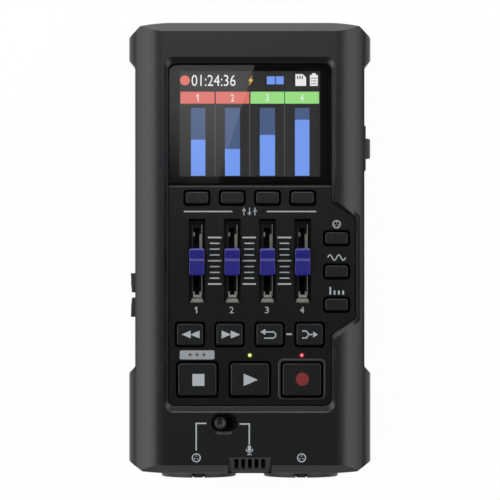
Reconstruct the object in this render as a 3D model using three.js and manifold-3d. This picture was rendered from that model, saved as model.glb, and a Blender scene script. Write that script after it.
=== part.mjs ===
// Handheld digital multitrack recorder with four faders, lying on its back.
// The controls face +Z, the two microphone jacks face -Y, and +X is on the right of the display.
// Lengths are in millimetres. The origin is in the middle of the footprint, on the table.
import * as THREE from "three";
import { mergeVertices } from "three/addons/utils/BufferGeometryUtils.js";
import Module from "manifold-3d";

const wasm = await Module();
wasm.setup();

// Fits that all pieces share
const clearance = 0.3; // between neighbouring pieces
const overrun = 2; // how far a cut runs past what it cuts
const samePoint = 0.001; // points of an outline that are nearer than this are one

// Case: two shells that meet on the axes of the jacks
const caseWidth = 70.5;
const caseLength = 131.2;
const caseDepth = 42;
const wall = 2;
const waistInset = 1.85; // the grip between the end bands is drawn in on each side
const topBandLength = 10.9;
const jackBandLength = 29.1;
const bandSlope = 2;
const restInset = 1.5; // the back is raised between the end bands, which stand on the table
const shoulderWidth = 10.85;
const shoulderDrop = 6.5;
const rearRadius = 3;
const crownRun = 9.5; // each end bows out over this run at its corners
const topCrownDrop = 1;
const jackCrownDrop = 0.6;
const topCorner = 3.3;
const jackCorner = 4;
const jackCornerSlant = 0.73; // length of that corner along the side, as a share of its width
const topChamfer = 2.5;
const jackChamfer = 2.6;
const rearChamfer = 2;

// Recess for the controls, with a bay on the right for three more keys
const recessSideMargin = 11.35; // from each side of the case
const recessTopMargin = 11.8;
const recessJackMargin = 19.65;
const recessDepth = 1.8;
const recessRadius = 2.6;
const recessBevel = 1.1;
const recessBevelStretch = 1.6; // the bevel is wider at the ends of the recess than at its sides
const bayDepth = 7;
const bayLength = 29.6;
const baySlopeLength = 4.5;
const bayTopShare = 0.4493; // of the recess's length, from its top to the straight side of the bay
const ledgeWidth = 0.9; // the panel and the window rest on it
const ledgeThickness = 1.5;
const rimWidth = 1.2;

// Display
const windowLength = 35.2;
const screenSideBorder = 3.5; // from each side of the recess to the picture
const screenEndBorder = 2.3;
const displayThickness = 2.6;
const panelThickness = 1.8;

// Keys
const keyTravel = 0.8;
const keyRise = 1;
const keyRadius = 0.8;
const keyTaper = 0.2;
const keyFlange = 0.5;
const flangeThickness = 1;
const stemWidth = 2.4;
const smallKeyGap = 3.2; // between neighbours in a row
const smallKeyLength = 3.85;
const rowKeyGap = 3.6;
const rowKeyLength = 6.65;
const bigKeyGap = 3.53;
const bigKeyLength = 9.8;
const guardWidth = 0.85;
const guardRise = 0.7;
const lightRadius = 0.5;
const lightFlange = 0.5;
const lightRise = 0.15;

// Where the controls sit across: shares of half the recess's width
const trackPitchShare = 0.429;
const rowKeyShares = [-0.728, -0.247, 0.24, 0.728];
const bigKeyShares = [-0.64, 0, 0.633];

// Where they sit along: rows follow the window and the end of the recess, faders fill the room left
const trackKeyMargin = 2; // below the window
const slotMargin = 4.215; // from the track keys to the slots of the faders
const rowMargin = 5.725; // from the slots to the middle row of keys
const bigRowMargin = 4.865; // from that row to the large keys
const bigKeyMargin = 2.84; // from the large keys to the end of the recess
const lightMargin = 2.12; // above the large keys
const sideKeyBayMargin = 2.15; // from the side of the bay
const sideKeyReach = 2.18; // past the straight side of the recess
const sideKeyTopMargin = 6.08; // from the ends of the bay to the middles of the outer two keys
const sideKeyEndMargin = 4.2;

// Faders
const capWidth = 4.4;
const capLength = 8.1;
const capHeight = 2.8;
const capOffset = 0.2; // from the middle of the slots towards the jacks
const slotWidth = 4.8;
const slotEnd = 0.7;
const slotRadius = 0.5;
const tangWidth = 1.2;
const tangLength = 4;
const tangInCap = 1.6;
const frameGap = 2; // between the frames of neighbouring faders
const frameHeight = 4.6;
const frameWall = 0.8;
const frameEnd = 2.2;
const carriageHeight = 1.9;

// Main board, which carries the faders and hangs over the jacks
const boardSideMargin = 1.7; // inside the grip
const boardThickness = 1.6;
const boardTopMargin = 6;
const boardJackMargin = 7;

// Combination jacks
const jackReach = 1.8;
const jackInset = 0.6; // from the middle of each half of the grip to a jack's axis
const collarRadius = 11;
const collarThickness = 1.5;
const barrelRadius = 10.2;
const jackBodyWidth = 22;
const jackBodyHeight = 21.6;
const jackBodyLength = 25;
const grooveRadius = 9.1;
const grooveDepth = 10;
const coreRadius = 7.4;
const coreInset = 1;
const boreRadius = 3.4;
const boreDepth = 22;
const pinRadius = 1.2;
const pinCircle = 5.3;
const pinDepth = 8;
const tabWidth = 2.8;
const tabHeight = 2.1;
const tabLength = 4.5;
const tabTravel = 1;

// Input switch under the control panel
const switchTravel = 2.4;
const switchKnobRadius = 2;
const switchKnobHeight = 1.1;
const dishRadiusShare = 0.6; // of the knob's, for the hollow in its face
const dishFloorShare = 0.7; // of the knob's height
const switchMargin = 0.4; // between the knob and the edge of its oval well
const switchOffset = 8.7; // left of the middle
const switchMarginBelowPanel = 4.95;
const switchBodyMargin = 1.2;

// Microphone between the jacks
const grilleWidth = 12.6;
const grilleLength = 5.6;
const grilleThickness = 1.4;
const grilleSlope = 35; // degrees from the front face
const grilleSlotWidth = 1.2;
const grilleSlotPitch = 1.93;
const grilleSlotLength = 3.7;
const grilleSlots = 5;
const capsuleRadius = 3;
const capsuleLength = 2.5;

// Dial on the right side
const wheelRadius = 7;
const wheelThickness = 5.9;
const wheelRim = 0.5;
const wheelReach = 2; // beyond the waist
const dialTopMargin = 36.4; // from the top end of the case
const dialBelowBoard = 3.3; // from the board's underside to the dial's axis
const dialTravel = 0.8;
const axleRadius = 1.5;
const earThickness = 1.2;
const earHeight = 6;
const axleEnd = 0.6;
const bezelLength = 13.2;
const bezelHeight = 14.4;
const bezelThickness = 2.1;
const bezelReach = 0.5;

// Buttons and sockets on the sides
const volumeLength = 5.7;
const volumeHeight = 5;
const volumePitch = 7.2;
const volumeReach = 1.65;
const volumeSlope = 0.3; // the facing ends of the two buttons are lower
const volumeTopMargin = 79.4;
const sideAxisDrop = 5.6; // from the board's underside to the middle of the side controls
const powerTravel = 3;
const powerKnobLength = 3.4;
const powerKnobHeight = 2.4;
const powerPlateMargin = 1.5;
const powerTopMargin = 44;
const phonesRadius = 3.2;
const phonesBore = 1.8;
const phonesLength = 12;
const phonesTopMargin = 27;
const usbWidth = 9;
const usbHeight = 3.2;
const usbLength = 7.3;
const usbWall = 0.4;
const usbTopMargin = 62;
const cardWidth = 11;
const cardLength = 15;
const cardThickness = 1;
const cardGuideWall = 1.2;
const cardTopMargin = 92;

// Batteries
const cellRadius = 7.25;
const cellLength = 50.5;
const cellTipRadius = 2.7;
const cellTipLength = 1;
const cellSpacing = 0.4;
const contactSpace = 1.2;
const bayWall = 1.2;
const coverThickness = 1.6;
const coverMargin = 1.7;
const coverSeatWidth = 1.5;
const bayMiddle = 6.35;

// Fasteners
const screwInset = 4.85; // from the side of the case to the screw's axis
const topScrewMargin = 9.2;
const jackScrewMargin = 10.4;
const screwRadius = 1.25;
const screwHeadRadius = 2.3;
const screwHeadHeight = 1.8;
const screwSeat = 6;
const screwLength = 20;
const bossRadius = 3.2;
const rearBossRadius = 3.8;
const insertRadius = 4.5;
const insertBore = 2.55; // tapping size of a 1/4"-20 thread
const insertLength = 8.5;
const insertBossWall = 1.4;
const insertMiddle = -30.25;

// Levels and edges that the pieces share
const caseMiddle = jackReach / 2;
const caseTop = caseMiddle + caseLength / 2;
const caseBottom = caseMiddle - caseLength / 2;
const waistTop = caseTop - topBandLength;
const waistBottom = caseBottom + jackBandLength;
const waist = caseWidth / 2 - waistInset;
const recessTop = caseTop - recessTopMargin;
const recessBottom = caseBottom + recessJackMargin;
const recessLength = recessTop - recessBottom;
const recessWidth = caseWidth - 2 * recessSideMargin;
const bayTop = recessTop - recessLength * bayTopShare;
const bayBottom = bayTop - bayLength;
const panelTop = caseDepth - recessDepth;
const panelBottom = panelTop - panelThickness;
const seatLevel = panelBottom - clearance;
const windowBottom = recessTop - windowLength;
const boardTop = seatLevel - frameHeight - clearance;
const boardBottom = boardTop - boardThickness;
const underBoard = boardBottom - clearance;
const jackLevel = underBoard - jackBodyHeight / 2;
const sideLevel = boardBottom - sideAxisDrop;
const waistInside = waist - wall;
const jackPitch = waistInside - 2 * jackInset;

const parts = new THREE.Group();

// Solids

function solid(geometry) {
  geometry.deleteAttribute("normal");
  geometry.deleteAttribute("uv");
  const merged = mergeVertices(geometry, 1e-4);
  return new wasm.Manifold(
    new wasm.Mesh({
      numProp: 3,
      vertProperties: merged.attributes.position.array,
      triVerts: new Uint32Array(merged.index.array),
    }),
  );
}

// Local axes of a profile drawn flat: where its x, its y and its depth point
const profileAxes = {
  x: [[0, 1, 0], [0, 0, 1], [1, 0, 0]],
  y: [[0, 0, 1], [1, 0, 0], [0, 1, 0]],
  z: [[1, 0, 0], [0, 1, 0], [0, 0, 1]],
};

function laidAlong(geometry, axis) {
  const [first, second, depth] = profileAxes[axis].map((v) => new THREE.Vector3(...v));
  return geometry.applyMatrix4(new THREE.Matrix4().makeBasis(first, second, depth));
}

// A shape extruded from one level to another. Along x it is drawn in (y, z), along y in (z, x).
function prism(shape, from, to, axis = "z") {
  const geometry = new THREE.ExtrudeGeometry(shape, {
    depth: to - from,
    bevelEnabled: false,
    steps: 1,
  });
  geometry.translate(0, 0, from);
  return solid(laidAlong(geometry, axis));
}

// The same with its far end grown about a centre, by so much in each direction.
function flared(shape, from, to, grow, middle = [0, 0]) {
  const geometry = new THREE.ExtrudeGeometry(shape, {
    depth: to - from,
    bevelEnabled: false,
    steps: 1,
  });
  const place = geometry.attributes.position;
  const points = shape.getPoints();
  const half = [0, 1].map((i) =>
    Math.max(...points.map((p) => Math.abs((i ? p.y : p.x) - middle[i]))),
  );
  for (let i = 0; i < place.count; i++) {
    if (place.getZ(i) > 0) {
      place.setX(i, middle[0] + (place.getX(i) - middle[0]) * (1 + grow[0] / half[0]));
      place.setY(i, middle[1] + (place.getY(i) - middle[1]) * (1 + grow[1] / half[1]));
    }
  }
  geometry.translate(0, 0, from);
  return solid(geometry);
}

function block([x0, x1], [y0, y1], [z0, z1]) {
  const geometry = new THREE.BoxGeometry(x1 - x0, y1 - y0, z1 - z0);
  geometry.translate((x0 + x1) / 2, (y0 + y1) / 2, (z0 + z1) / 2);
  return solid(geometry);
}

function rod(radius, from, to, axis, centre = [0, 0], sides = 24) {
  const points = Array.from({ length: sides }, (_, i) => {
    const angle = ((i + 0.5) / sides) * 2 * Math.PI;
    return [centre[0] + radius * Math.cos(angle), centre[1] + radius * Math.sin(angle)];
  });
  return prism(outline(points), from, to, axis);
}

function join(first, ...others) {
  return others.reduce((whole, next) => whole.add(next), first);
}

function cut(body, ...tools) {
  return tools.reduce((rest, tool) => rest.subtract(tool), body);
}

function meet(first, ...others) {
  return others.reduce((common, next) => common.intersect(next), first);
}

// Adds a node to the scene, made in place or about its own origin
function addPart(name, body, material, position = [0, 0, 0], parent = parts) {
  const { numProp, vertProperties, triVerts } = body.getMesh();
  const geometry = new THREE.BufferGeometry();
  geometry.setAttribute("position", new THREE.BufferAttribute(vertProperties, numProp));
  geometry.setIndex(new THREE.BufferAttribute(triVerts, 1));
  geometry.computeVertexNormals();
  const mesh = new THREE.Mesh(geometry, material);
  mesh.name = name;
  mesh.position.set(...position);
  parent.add(mesh);
  return mesh;
}

// Outlines

// Points that fall on the one before them are left out, as where a straight side has no length
function outline(points) {
  const apart = points.filter(([x, y], i) => {
    const [lastX, lastY] = points.at(i - 1);
    return Math.hypot(x - lastX, y - lastY) > samePoint;
  });
  return new THREE.Shape(apart.map(([x, y]) => new THREE.Vector2(x, y)));
}

function mirrored(half) {
  const other = half.map(([x, y]) => [-x, y]);
  return outline([...half, ...other.reverse()]);
}

function range(from, to) {
  return Array.from({ length: Math.abs(to - from) + 1 }, (_, i) => from + Math.sign(to - from) * i);
}

function softRectangle(width, length, radius, [x, y] = [0, 0], steps = 3) {
  const signs = [[1, 1], [-1, 1], [-1, -1], [1, -1]];
  const points = signs.flatMap(([sx, sy], quarter) =>
    range(0, steps).map((i) => {
      const angle = ((quarter + i / steps) * Math.PI) / 2;
      return [
        x + sx * (width / 2 - radius) + radius * Math.cos(angle),
        y + sy * (length / 2 - radius) + radius * Math.sin(angle),
      ];
    }),
  );
  return outline(points);
}

// The curve of an end of the case from its corner to its flat middle, as [x, y]
function crown(cornerX, edge, drop) {
  const steps = 4;
  return range(0, steps).map((i) => {
    const share = i / steps;
    return [cornerX - crownRun * share, edge - drop * (1 - share) ** 2];
  });
}

function planShape(inset) {
  const side = caseWidth / 2 - inset;
  const grip = waist - inset;
  const top = caseTop - inset;
  const bottom = caseBottom + inset;
  return mirrored([
    ...crown(side - jackCorner, bottom, -jackCrownDrop).reverse(),
    [side, bottom + jackCrownDrop + jackCorner * jackCornerSlant],
    [side, waistBottom],
    [grip, waistBottom + bandSlope],
    [grip, waistTop - bandSlope],
    [side, waistTop],
    [side, top - topCrownDrop - topCorner],
    ...crown(side - topCorner, top, topCrownDrop),
  ]);
}

// Across the case, drawn as (z, x)
function sectionShape(inset, base) {
  const side = caseWidth / 2 - inset;
  const front = caseDepth - inset;
  const rear = rearRadius - inset / 2;
  const steps = 8;
  const rearCurve = range(0, 3).map((i) => {
    const angle = ((i / 3) * Math.PI) / 2;
    return [base + rear * (1 - Math.cos(angle)), side - rear * (1 - Math.sin(angle))];
  });
  const shoulder = range(0, steps).map((i) => {
    const angle = ((i / steps) * Math.PI) / 2;
    return [
      front - (shoulderDrop - inset) * (1 - Math.sin(angle)),
      side - (shoulderWidth - inset) * (1 - Math.cos(angle)),
    ];
  });
  const half = [...rearCurve, ...shoulder];
  const other = half.map(([z, x]) => [z, -x]).reverse();
  return outline([...half, ...other]);
}

// Along the case, drawn as (y, z)
function sideShape(inset) {
  const top = caseTop - inset;
  const bottom = caseBottom + inset;
  const front = caseDepth - inset;
  return outline([
    [bottom, inset + rearChamfer],
    [bottom + rearChamfer, inset],
    [top - rearChamfer, inset],
    [top, inset + rearChamfer],
    [top, front - topChamfer],
    [top - topChamfer, front],
    [bottom + jackChamfer, front],
    [bottom, front - jackChamfer],
  ]);
}

function recessShape(grow) {
  const half = recessWidth / 2 + grow;
  const bay = half + bayDepth;
  const top = recessTop + grow;
  const bottom = recessBottom - grow;
  const corners = softRectangle(2 * half, top - bottom, recessRadius + grow, [0, (top + bottom) / 2])
    .getPoints()
    .map((p) => [p.x, p.y]);
  const rightTop = corners.filter(([x, y]) => x > 0 && y > 0);
  const left = corners.filter(([x]) => x < 0);
  const rightBottom = corners.filter(([x, y]) => x > 0 && y < 0);
  return outline([
    ...rightTop,
    ...left,
    ...rightBottom,
    [half, bayBottom - baySlopeLength - grow / 2],
    [bay, bayBottom - grow / 2],
    [bay, bayTop + grow / 2],
    [half, bayTop + baySlopeLength + grow / 2],
  ]);
}

// Finishes

function finish(color, roughness, metalness = 0) {
  return new THREE.MeshStandardMaterial({ color, roughness, metalness });
}

const finishes = {
  shell: finish(0x2c2e30, 0.62),
  panel: finish(0x232527, 0.6),
  window: finish(0x0b0b0d, 0.12),
  key: finish(0x1f2021, 0.55),
  blueCap: finish(0x2b2591, 0.45),
  screenGlass: finish(0x33363a, 0.3),
  steel: finish(0xb4b6b8, 0.35, 1),
  blackPlastic: finish(0x151617, 0.5),
  board: finish(0x1d4a2c, 0.6),
  brass: finish(0xb08d45, 0.4, 1),
  greenLight: finish(0xc8e040, 0.4),
  redLight: finish(0xe04050, 0.4),
  cell: finish(0x8f9498, 0.4, 0.6),
};

// Case

function caseSolid(inset, base) {
  const plan = prism(planShape(inset), base, caseDepth + overrun);
  const section = prism(sectionShape(inset, base), caseBottom - overrun, caseTop + overrun, "y");
  const profile = prism(sideShape(inset), -caseWidth, caseWidth, "x");
  return meet(plan, section, profile);
}

const outer = caseSolid(0, 0);
const hollow = caseSolid(wall, restInset + wall);
const everywhere = [-caseLength, caseLength];

function above(level) {
  return block(everywhere, everywhere, [level, 2 * caseDepth]);
}

function below(level) {
  return block(everywhere, everywhere, [-caseDepth, level]);
}

const screwPlaces = [
  [-1, caseTop - topScrewMargin],
  [1, caseTop - topScrewMargin],
  [-1, caseBottom + jackScrewMargin],
  [1, caseBottom + jackScrewMargin],
].map(([side, y]) => [side * (caseWidth / 2 - screwInset), y]);

const jackPlaces = [-jackPitch / 2, jackPitch / 2];

function jackHoles() {
  const radius = barrelRadius + clearance;
  return jackPlaces.map((x) =>
    rod(radius, caseBottom - overrun, caseBottom + wall + overrun, "y", [jackLevel, x], 32),
  );
}

const half = recessWidth / 2;
const trackPitch = trackPitchShare * half;
const trackX = [-1.5, -0.5, 0.5, 1.5].map((i) => i * trackPitch);
const smallKeyWidth = trackPitch - smallKeyGap;
const rowKeyWidth = (rowKeyShares[3] - rowKeyShares[2]) * half - rowKeyGap;
const bigKeyWidth = (bigKeyShares[2] - bigKeyShares[1]) * half - bigKeyGap;

// The rows from the window down and from the end of the recess up, with the slots between them
const trackKeyY = windowBottom - trackKeyMargin - smallKeyLength / 2;
const bigRowY = recessBottom + bigKeyMargin + bigKeyLength / 2;
const bigRowTop = bigRowY + bigKeyLength / 2;
const rowY = bigRowTop + bigRowMargin + rowKeyLength / 2;
const slotTop = trackKeyY - smallKeyLength / 2 - slotMargin;
const slotBottom = rowY + rowKeyLength / 2 + rowMargin;
const slotLength = slotTop - slotBottom;
const slotY = (slotTop + slotBottom) / 2;
const faderY = slotY - capOffset;
const faderTravel = slotLength - capLength - 2 * slotEnd;
const sideKeyX = half + (bayDepth - sideKeyBayMargin - sideKeyReach) / 2;
const sideKeyWidth = bayDepth - sideKeyBayMargin + sideKeyReach;
const sideKeyPitch = (bayLength - sideKeyTopMargin - sideKeyEndMargin) / 2;
const recordPlace = [bigKeyShares[2] * half, bigRowY];

// Key layout: [name, x, y, width, length]
const keys = [
  ...trackX.map((x, i) => ["track_key_" + (i + 1), x, trackKeyY, smallKeyWidth, smallKeyLength]),
  ...["input_key", "effect_key", "rhythm_key"].map((name, i) => [
    name, sideKeyX, bayTop - sideKeyTopMargin - i * sideKeyPitch, sideKeyWidth, smallKeyLength,
  ]),
  ...["rewind_key", "forward_key", "undo_key", "bounce_key"].map((name, i) => [
    name, rowKeyShares[i] * half, rowY, rowKeyWidth, rowKeyLength,
  ]),
  ...["stop_key", "play_key", "record_key"].map((name, i) => [
    name, bigKeyShares[i] * half, bigRowY, bigKeyWidth, bigKeyLength,
  ]),
];

const lightY = bigRowTop + lightMargin;
const lightPlaces = [bigKeyShares[1], bigKeyShares[2]].map((share) => [share * half, lightY]);

// The microphone's group is tilted, so a matrix places what it cuts from the shell
const grilleTilt = THREE.MathUtils.degToRad(grilleSlope);
const grillePlace = [
  0,
  caseBottom + (grilleLength / 2) * Math.cos(grilleTilt) + clearance / 2,
  caseDepth - clearance - (grilleLength / 2) * Math.sin(grilleTilt),
];

function tilted(body) {
  return body.rotate([grilleSlope, 0, 0]).translate(grillePlace);
}

const switchPlace = [-switchOffset, recessBottom - switchMarginBelowPanel];
const wellRadius = switchKnobRadius + switchMargin;

function well(grow, from, to) {
  const radius = wellRadius + grow;
  const shape = softRectangle(
    switchTravel + 2 * radius,
    2 * radius,
    radius,
    [switchPlace[0] + switchTravel / 2, switchPlace[1]],
    6,
  );
  return prism(shape, from, to);
}

const volumeY = caseTop - volumeTopMargin;
const volumePlaces = [volumeY + volumePitch / 2, volumeY - volumePitch / 2];
const powerY = caseTop - powerTopMargin;
const phonesY = caseTop - phonesTopMargin;
const usbY = caseTop - usbTopMargin;
const cardY = caseTop - cardTopMargin;
const dialY = caseTop - dialTopMargin;
const dialLevel = boardBottom - dialBelowBoard;
const dialX = waist + wheelReach - wheelRadius;

function sideCut(side, y, length, level, height, radius = 0.5) {
  const shape = softRectangle(length, height, radius, [y, level], 2);
  const [from, to] = [waistInside - overrun, caseWidth / 2 + overrun];
  return side > 0 ? prism(shape, from, to, "x") : prism(shape, -to, -from, "x");
}

function cardGuide() {
  const depth = cardLength + cardGuideWall;
  const reach = [waist - depth, waist - wall / 2];
  const width = cardWidth / 2 + clearance + cardGuideWall;
  const height = cardThickness / 2 + clearance + cardGuideWall;
  return block(reach, [cardY - width, cardY + width], [sideLevel - height, sideLevel + height]);
}

function cardSlot() {
  const width = cardWidth / 2 + clearance;
  const height = cardThickness / 2 + clearance;
  return block(
    [waist - cardLength, waist + overrun],
    [cardY - width, cardY + width],
    [sideLevel - height, sideLevel + height],
  );
}

function makeFrontShell() {
  const seam = jackLevel + clearance / 2;
  const bosses = screwPlaces.map(([x, y]) => rod(bossRadius, seam, underBoard, "z", [x, y], 16));
  const pilots = screwPlaces.map(([x, y]) =>
    rod(screwRadius + clearance, 0, underBoard + overrun, "z", [x, y], 12),
  );
  const rim = prism(recessShape(rimWidth), seatLevel - ledgeThickness, caseDepth - wall / 2);
  const middle = [0, (recessTop + recessBottom) / 2];
  const recess = flared(recessShape(0), panelTop, caseDepth + overrun, recessGrow(), middle);
  const opening = prism(recessShape(0), seatLevel, panelTop + overrun);
  const throat = prism(recessShape(-ledgeWidth), 0, panelTop + overrun);
  const pocket = [grilleWidth / 2 + clearance, grilleLength / 2 + clearance];
  const grillePocket = tilted(
    block([-pocket[0], pocket[0]], [-pocket[1], pocket[1]], [-grilleThickness - clearance, wall * 3]),
  );
  const capsuleHole = tilted(
    rod(capsuleRadius + clearance, -wall * 5, 0, "z", [0, 0], 16),
  );
  const sockets = [
    ...volumePlaces.map((y) =>
      sideCut(-1, y, volumeLength + 2 * clearance, sideLevel, volumeHeight + 2 * clearance),
    ),
    sideCut(
      -1,
      powerY + powerTravel / 2,
      powerKnobLength + powerTravel + 2 * clearance,
      sideLevel,
      powerKnobHeight + 2 * clearance,
    ),
    rod(phonesRadius + clearance, -caseWidth, -waistInside + overrun, "x", [phonesY, sideLevel], 16),
    sideCut(1, usbY, usbWidth + 2 * clearance, sideLevel, usbHeight + 2 * clearance, usbHeight / 2),
    sideCut(1, dialY, bezelLength + 2 * clearance, dialLevel, bezelHeight + 2 * clearance),
  ];
  let body = meet(join(cut(outer, hollow), ...bosses, rim, cardGuide()), above(seam));
  body = meet(body, outer);
  body = cut(body, recess, opening, throat, ...jackHoles(), ...pilots, ...sockets);
  body = cut(body, cardSlot(), well(0, panelBottom - wall, caseDepth + overrun));
  return cut(body, grillePocket, capsuleHole);
}

// The bevel round the recess reaches its full width at the front face
function recessGrow() {
  const share = (recessDepth + overrun) / recessDepth;
  return [recessBevel * share, recessBevel * recessBevelStretch * share];
}

const cellPitch = 2 * cellRadius + cellSpacing;
const bayWidth = 2 * cellPitch + cellSpacing;
const bayInnerLength = cellLength + cellTipLength + 2 * contactSpace;
const coverTop = restInset + coverThickness;
const cellLevel = coverTop + clearance + cellRadius;
const bayRoof = cellLevel + cellRadius + clearance;

function bayBox(grow, from, to, growLength = grow) {
  return block(
    [-bayWidth / 2 - grow, bayWidth / 2 + grow],
    [bayMiddle - bayInnerLength / 2 - growLength, bayMiddle + bayInnerLength / 2 + growLength],
    [from, to],
  );
}

function makeRearShell() {
  const seam = jackLevel - clearance / 2;
  const bosses = screwPlaces.map(([x, y]) => rod(rearBossRadius, wall, seam, "z", [x, y], 16));
  const shafts = screwPlaces.map(([x, y]) =>
    rod(screwRadius + clearance, 0, seam + overrun, "z", [x, y], 12),
  );
  const heads = screwPlaces.map(([x, y]) =>
    rod(screwHeadRadius + clearance, -overrun, screwSeat, "z", [x, y], 16),
  );
  const between = block(
    everywhere,
    [waistBottom + bandSlope, waistTop - bandSlope],
    [-overrun, restInset],
  );
  const tub = bayBox(bayWall, restInset, bayRoof + bayWall);
  const seat = bayBox(coverMargin + coverSeatWidth, restInset, coverTop + clearance + coverSeatWidth);
  const coverHole = bayBox(coverMargin + clearance, -overrun, coverTop + clearance);
  const insertHole = rod(
    insertRadius + clearance, -overrun, restInset + insertLength + clearance, "z", [0, insertMiddle],
  );
  const insertBoss = rod(
    insertRadius + insertBossWall, restInset, restInset + insertLength + wall, "z", [0, insertMiddle],
  );
  let body = meet(join(cut(outer, hollow), ...bosses), below(seam), outer);
  body = join(body, tub, seat, insertBoss);
  body = cut(body, bayBox(0, coverTop, bayRoof), coverHole, insertHole, between);
  return cut(body, ...heads, ...shafts, ...jackHoles());
}

addPart("front_shell", makeFrontShell(), finishes.shell);
addPart("rear_shell", makeRearShell(), finishes.shell);

// Control panel, window and display

function makeControlPanel() {
  const plate = cut(
    prism(recessShape(-clearance), panelBottom, panelTop),
    block(everywhere, [windowBottom - clearance, caseLength], [0, caseDepth]),
  );
  const guard = prism(
    softRectangle(
      bigKeyWidth + 2 * (clearance + guardWidth),
      bigKeyLength + 2 * (clearance + guardWidth),
      keyRadius + guardWidth,
      recordPlace,
    ),
    panelTop - clearance,
    panelTop + guardRise,
  );
  const keyHoles = keys.map(([, x, y, width, length]) =>
    prism(
      softRectangle(width + 2 * clearance, length + 2 * clearance, keyRadius + clearance, [x, y]),
      panelBottom - overrun,
      panelTop + overrun,
    ),
  );
  const slots = trackX.map((x) =>
    prism(
      softRectangle(slotWidth, slotLength, slotRadius, [x, slotY]),
      panelBottom - overrun,
      panelTop + overrun,
    ),
  );
  const lightHoles = lightPlaces.map((place) =>
    rod(lightRadius + clearance, panelBottom - overrun, panelTop + overrun, "z", place, 12),
  );
  return cut(join(plate, guard), ...keyHoles, ...slots, ...lightHoles);
}

function makeWindow() {
  return meet(
    prism(recessShape(-clearance), panelBottom, panelTop),
    block(everywhere, [windowBottom, caseLength], [0, caseDepth]),
  );
}

const windowMiddle = (recessTop + windowBottom) / 2;
const displayTop = panelBottom - clearance;

function makeDisplay() {
  const screenWidth = recessWidth - 2 * screenSideBorder;
  const screenLength = windowLength - 2 * screenEndBorder;
  const edge = ledgeWidth + recessRadius / 3; // it fits between the round-cornered ledges
  const sides = [recessWidth / 2 - edge, windowLength / 2 - edge];
  const bezel = block(
    [-sides[0], sides[0]],
    [windowMiddle - sides[1], windowMiddle + sides[1]],
    [displayTop - displayThickness, displayTop],
  );
  const picture = block(
    [-screenWidth / 2, screenWidth / 2],
    [windowMiddle - screenLength / 2, windowMiddle + screenLength / 2],
    [displayTop - clearance, displayTop + overrun],
  );
  return cut(bezel, picture);
}

addPart("control_panel", makeControlPanel(), finishes.panel);
addPart("display_window", makeWindow(), finishes.window);
addPart("lcd_module", makeDisplay(), finishes.screenGlass);

// Keys: a cap through the panel, a flange under it and a stem over the board's switch

function makeKey(width, length) {
  const cap = flared(
    softRectangle(width, length, keyRadius),
    seatLevel - flangeThickness,
    panelTop + keyRise,
    [-keyTaper, -keyTaper],
  );
  const flange = prism(
    softRectangle(width + 2 * keyFlange, length + 2 * keyFlange, keyRadius),
    seatLevel - flangeThickness,
    seatLevel,
  );
  const stem = prism(
    softRectangle(stemWidth, stemWidth, keyRadius),
    boardTop + keyTravel + clearance,
    seatLevel - flangeThickness / 2,
  );
  return join(cap, flange, stem);
}

keys.forEach(([name, x, y, width, length]) => {
  addPart(name, makeKey(width, length), finishes.key, [x, y, 0]);
});

lightPlaces.forEach(([x, y], i) => {
  const pipe = join(
    rod(lightRadius, boardTop + clearance, panelTop + lightRise, "z", [0, 0], 12),
    rod(lightRadius + lightFlange, seatLevel - flangeThickness, seatLevel, "z", [0, 0], 12),
  );
  const [name, material] = i ? ["record_light", finishes.redLight] : ["play_light", finishes.greenLight];
  addPart(name, pipe, material, [x, y, 0]);
});

// Faders: a channel on the board, a lever that slides in it and a cap on the lever

const frameWidth = trackPitch - frameGap;
const capBase = panelTop + clearance;
const tangTop = capBase + tangInCap;
const channelFloor = boardTop + clearance + frameWall;

function makeFaderFrame() {
  const lengthInside = faderTravel + tangLength + 2 * clearance;
  const outerLength = lengthInside + 2 * frameEnd;
  const bottom = boardTop + clearance;
  const body = block(
    [-frameWidth / 2, frameWidth / 2],
    [-outerLength / 2, outerLength / 2],
    [bottom, bottom + frameHeight],
  );
  const channel = block(
    [-frameWidth / 2 + frameWall, frameWidth / 2 - frameWall],
    [-lengthInside / 2, lengthInside / 2],
    [channelFloor, bottom + frameHeight - frameWall],
  );
  const slit = block(
    [-tangWidth / 2 - clearance, tangWidth / 2 + clearance],
    [-lengthInside / 2, lengthInside / 2],
    [channelFloor, caseDepth],
  );
  return cut(body, channel, slit);
}

function makeFaderLever() {
  const carriageWidth = frameWidth - 2 * frameWall - 2 * clearance;
  const carriage = block(
    [-carriageWidth / 2, carriageWidth / 2],
    [-tangLength / 2, tangLength / 2],
    [channelFloor + clearance, channelFloor + clearance + carriageHeight],
  );
  const tang = block(
    [-tangWidth / 2, tangWidth / 2],
    [-tangLength / 2, tangLength / 2],
    [channelFloor + clearance, tangTop],
  );
  return join(carriage, tang);
}

// Two humps with a shallow valley between them for a fingertip, drawn as (y, z) in shares of the cap
const capShares = [
  [0.5, 0], [0.5, 0.8], [0.46, 0.95], [0.4, 1], [0.2, 0.92], [0.06, 0.88], [0.04, 0.96],
];

function makeFaderCap() {
  const right = capShares.map(([y, z]) => [y * capLength, capBase + z * capHeight]);
  const left = right.map(([y, z]) => [-y, z]).reverse();
  const body = prism(outline([...right, ...left]), -capWidth / 2, capWidth / 2, "x");
  const socket = block(
    [-tangWidth / 2 - clearance, tangWidth / 2 + clearance],
    [-tangLength / 2 - clearance, tangLength / 2 + clearance],
    [0, tangTop + clearance],
  );
  return cut(body, socket);
}

trackX.forEach((x, i) => {
  const place = [x, faderY, 0];
  addPart("fader_frame_" + (i + 1), makeFaderFrame(), finishes.steel, place);
  addPart("fader_lever_" + (i + 1), makeFaderLever(), finishes.blackPlastic, place);
  addPart("fader_cap_" + (i + 1), makeFaderCap(), finishes.blueCap, place);
});

// Main board, notched for the dial

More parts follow.
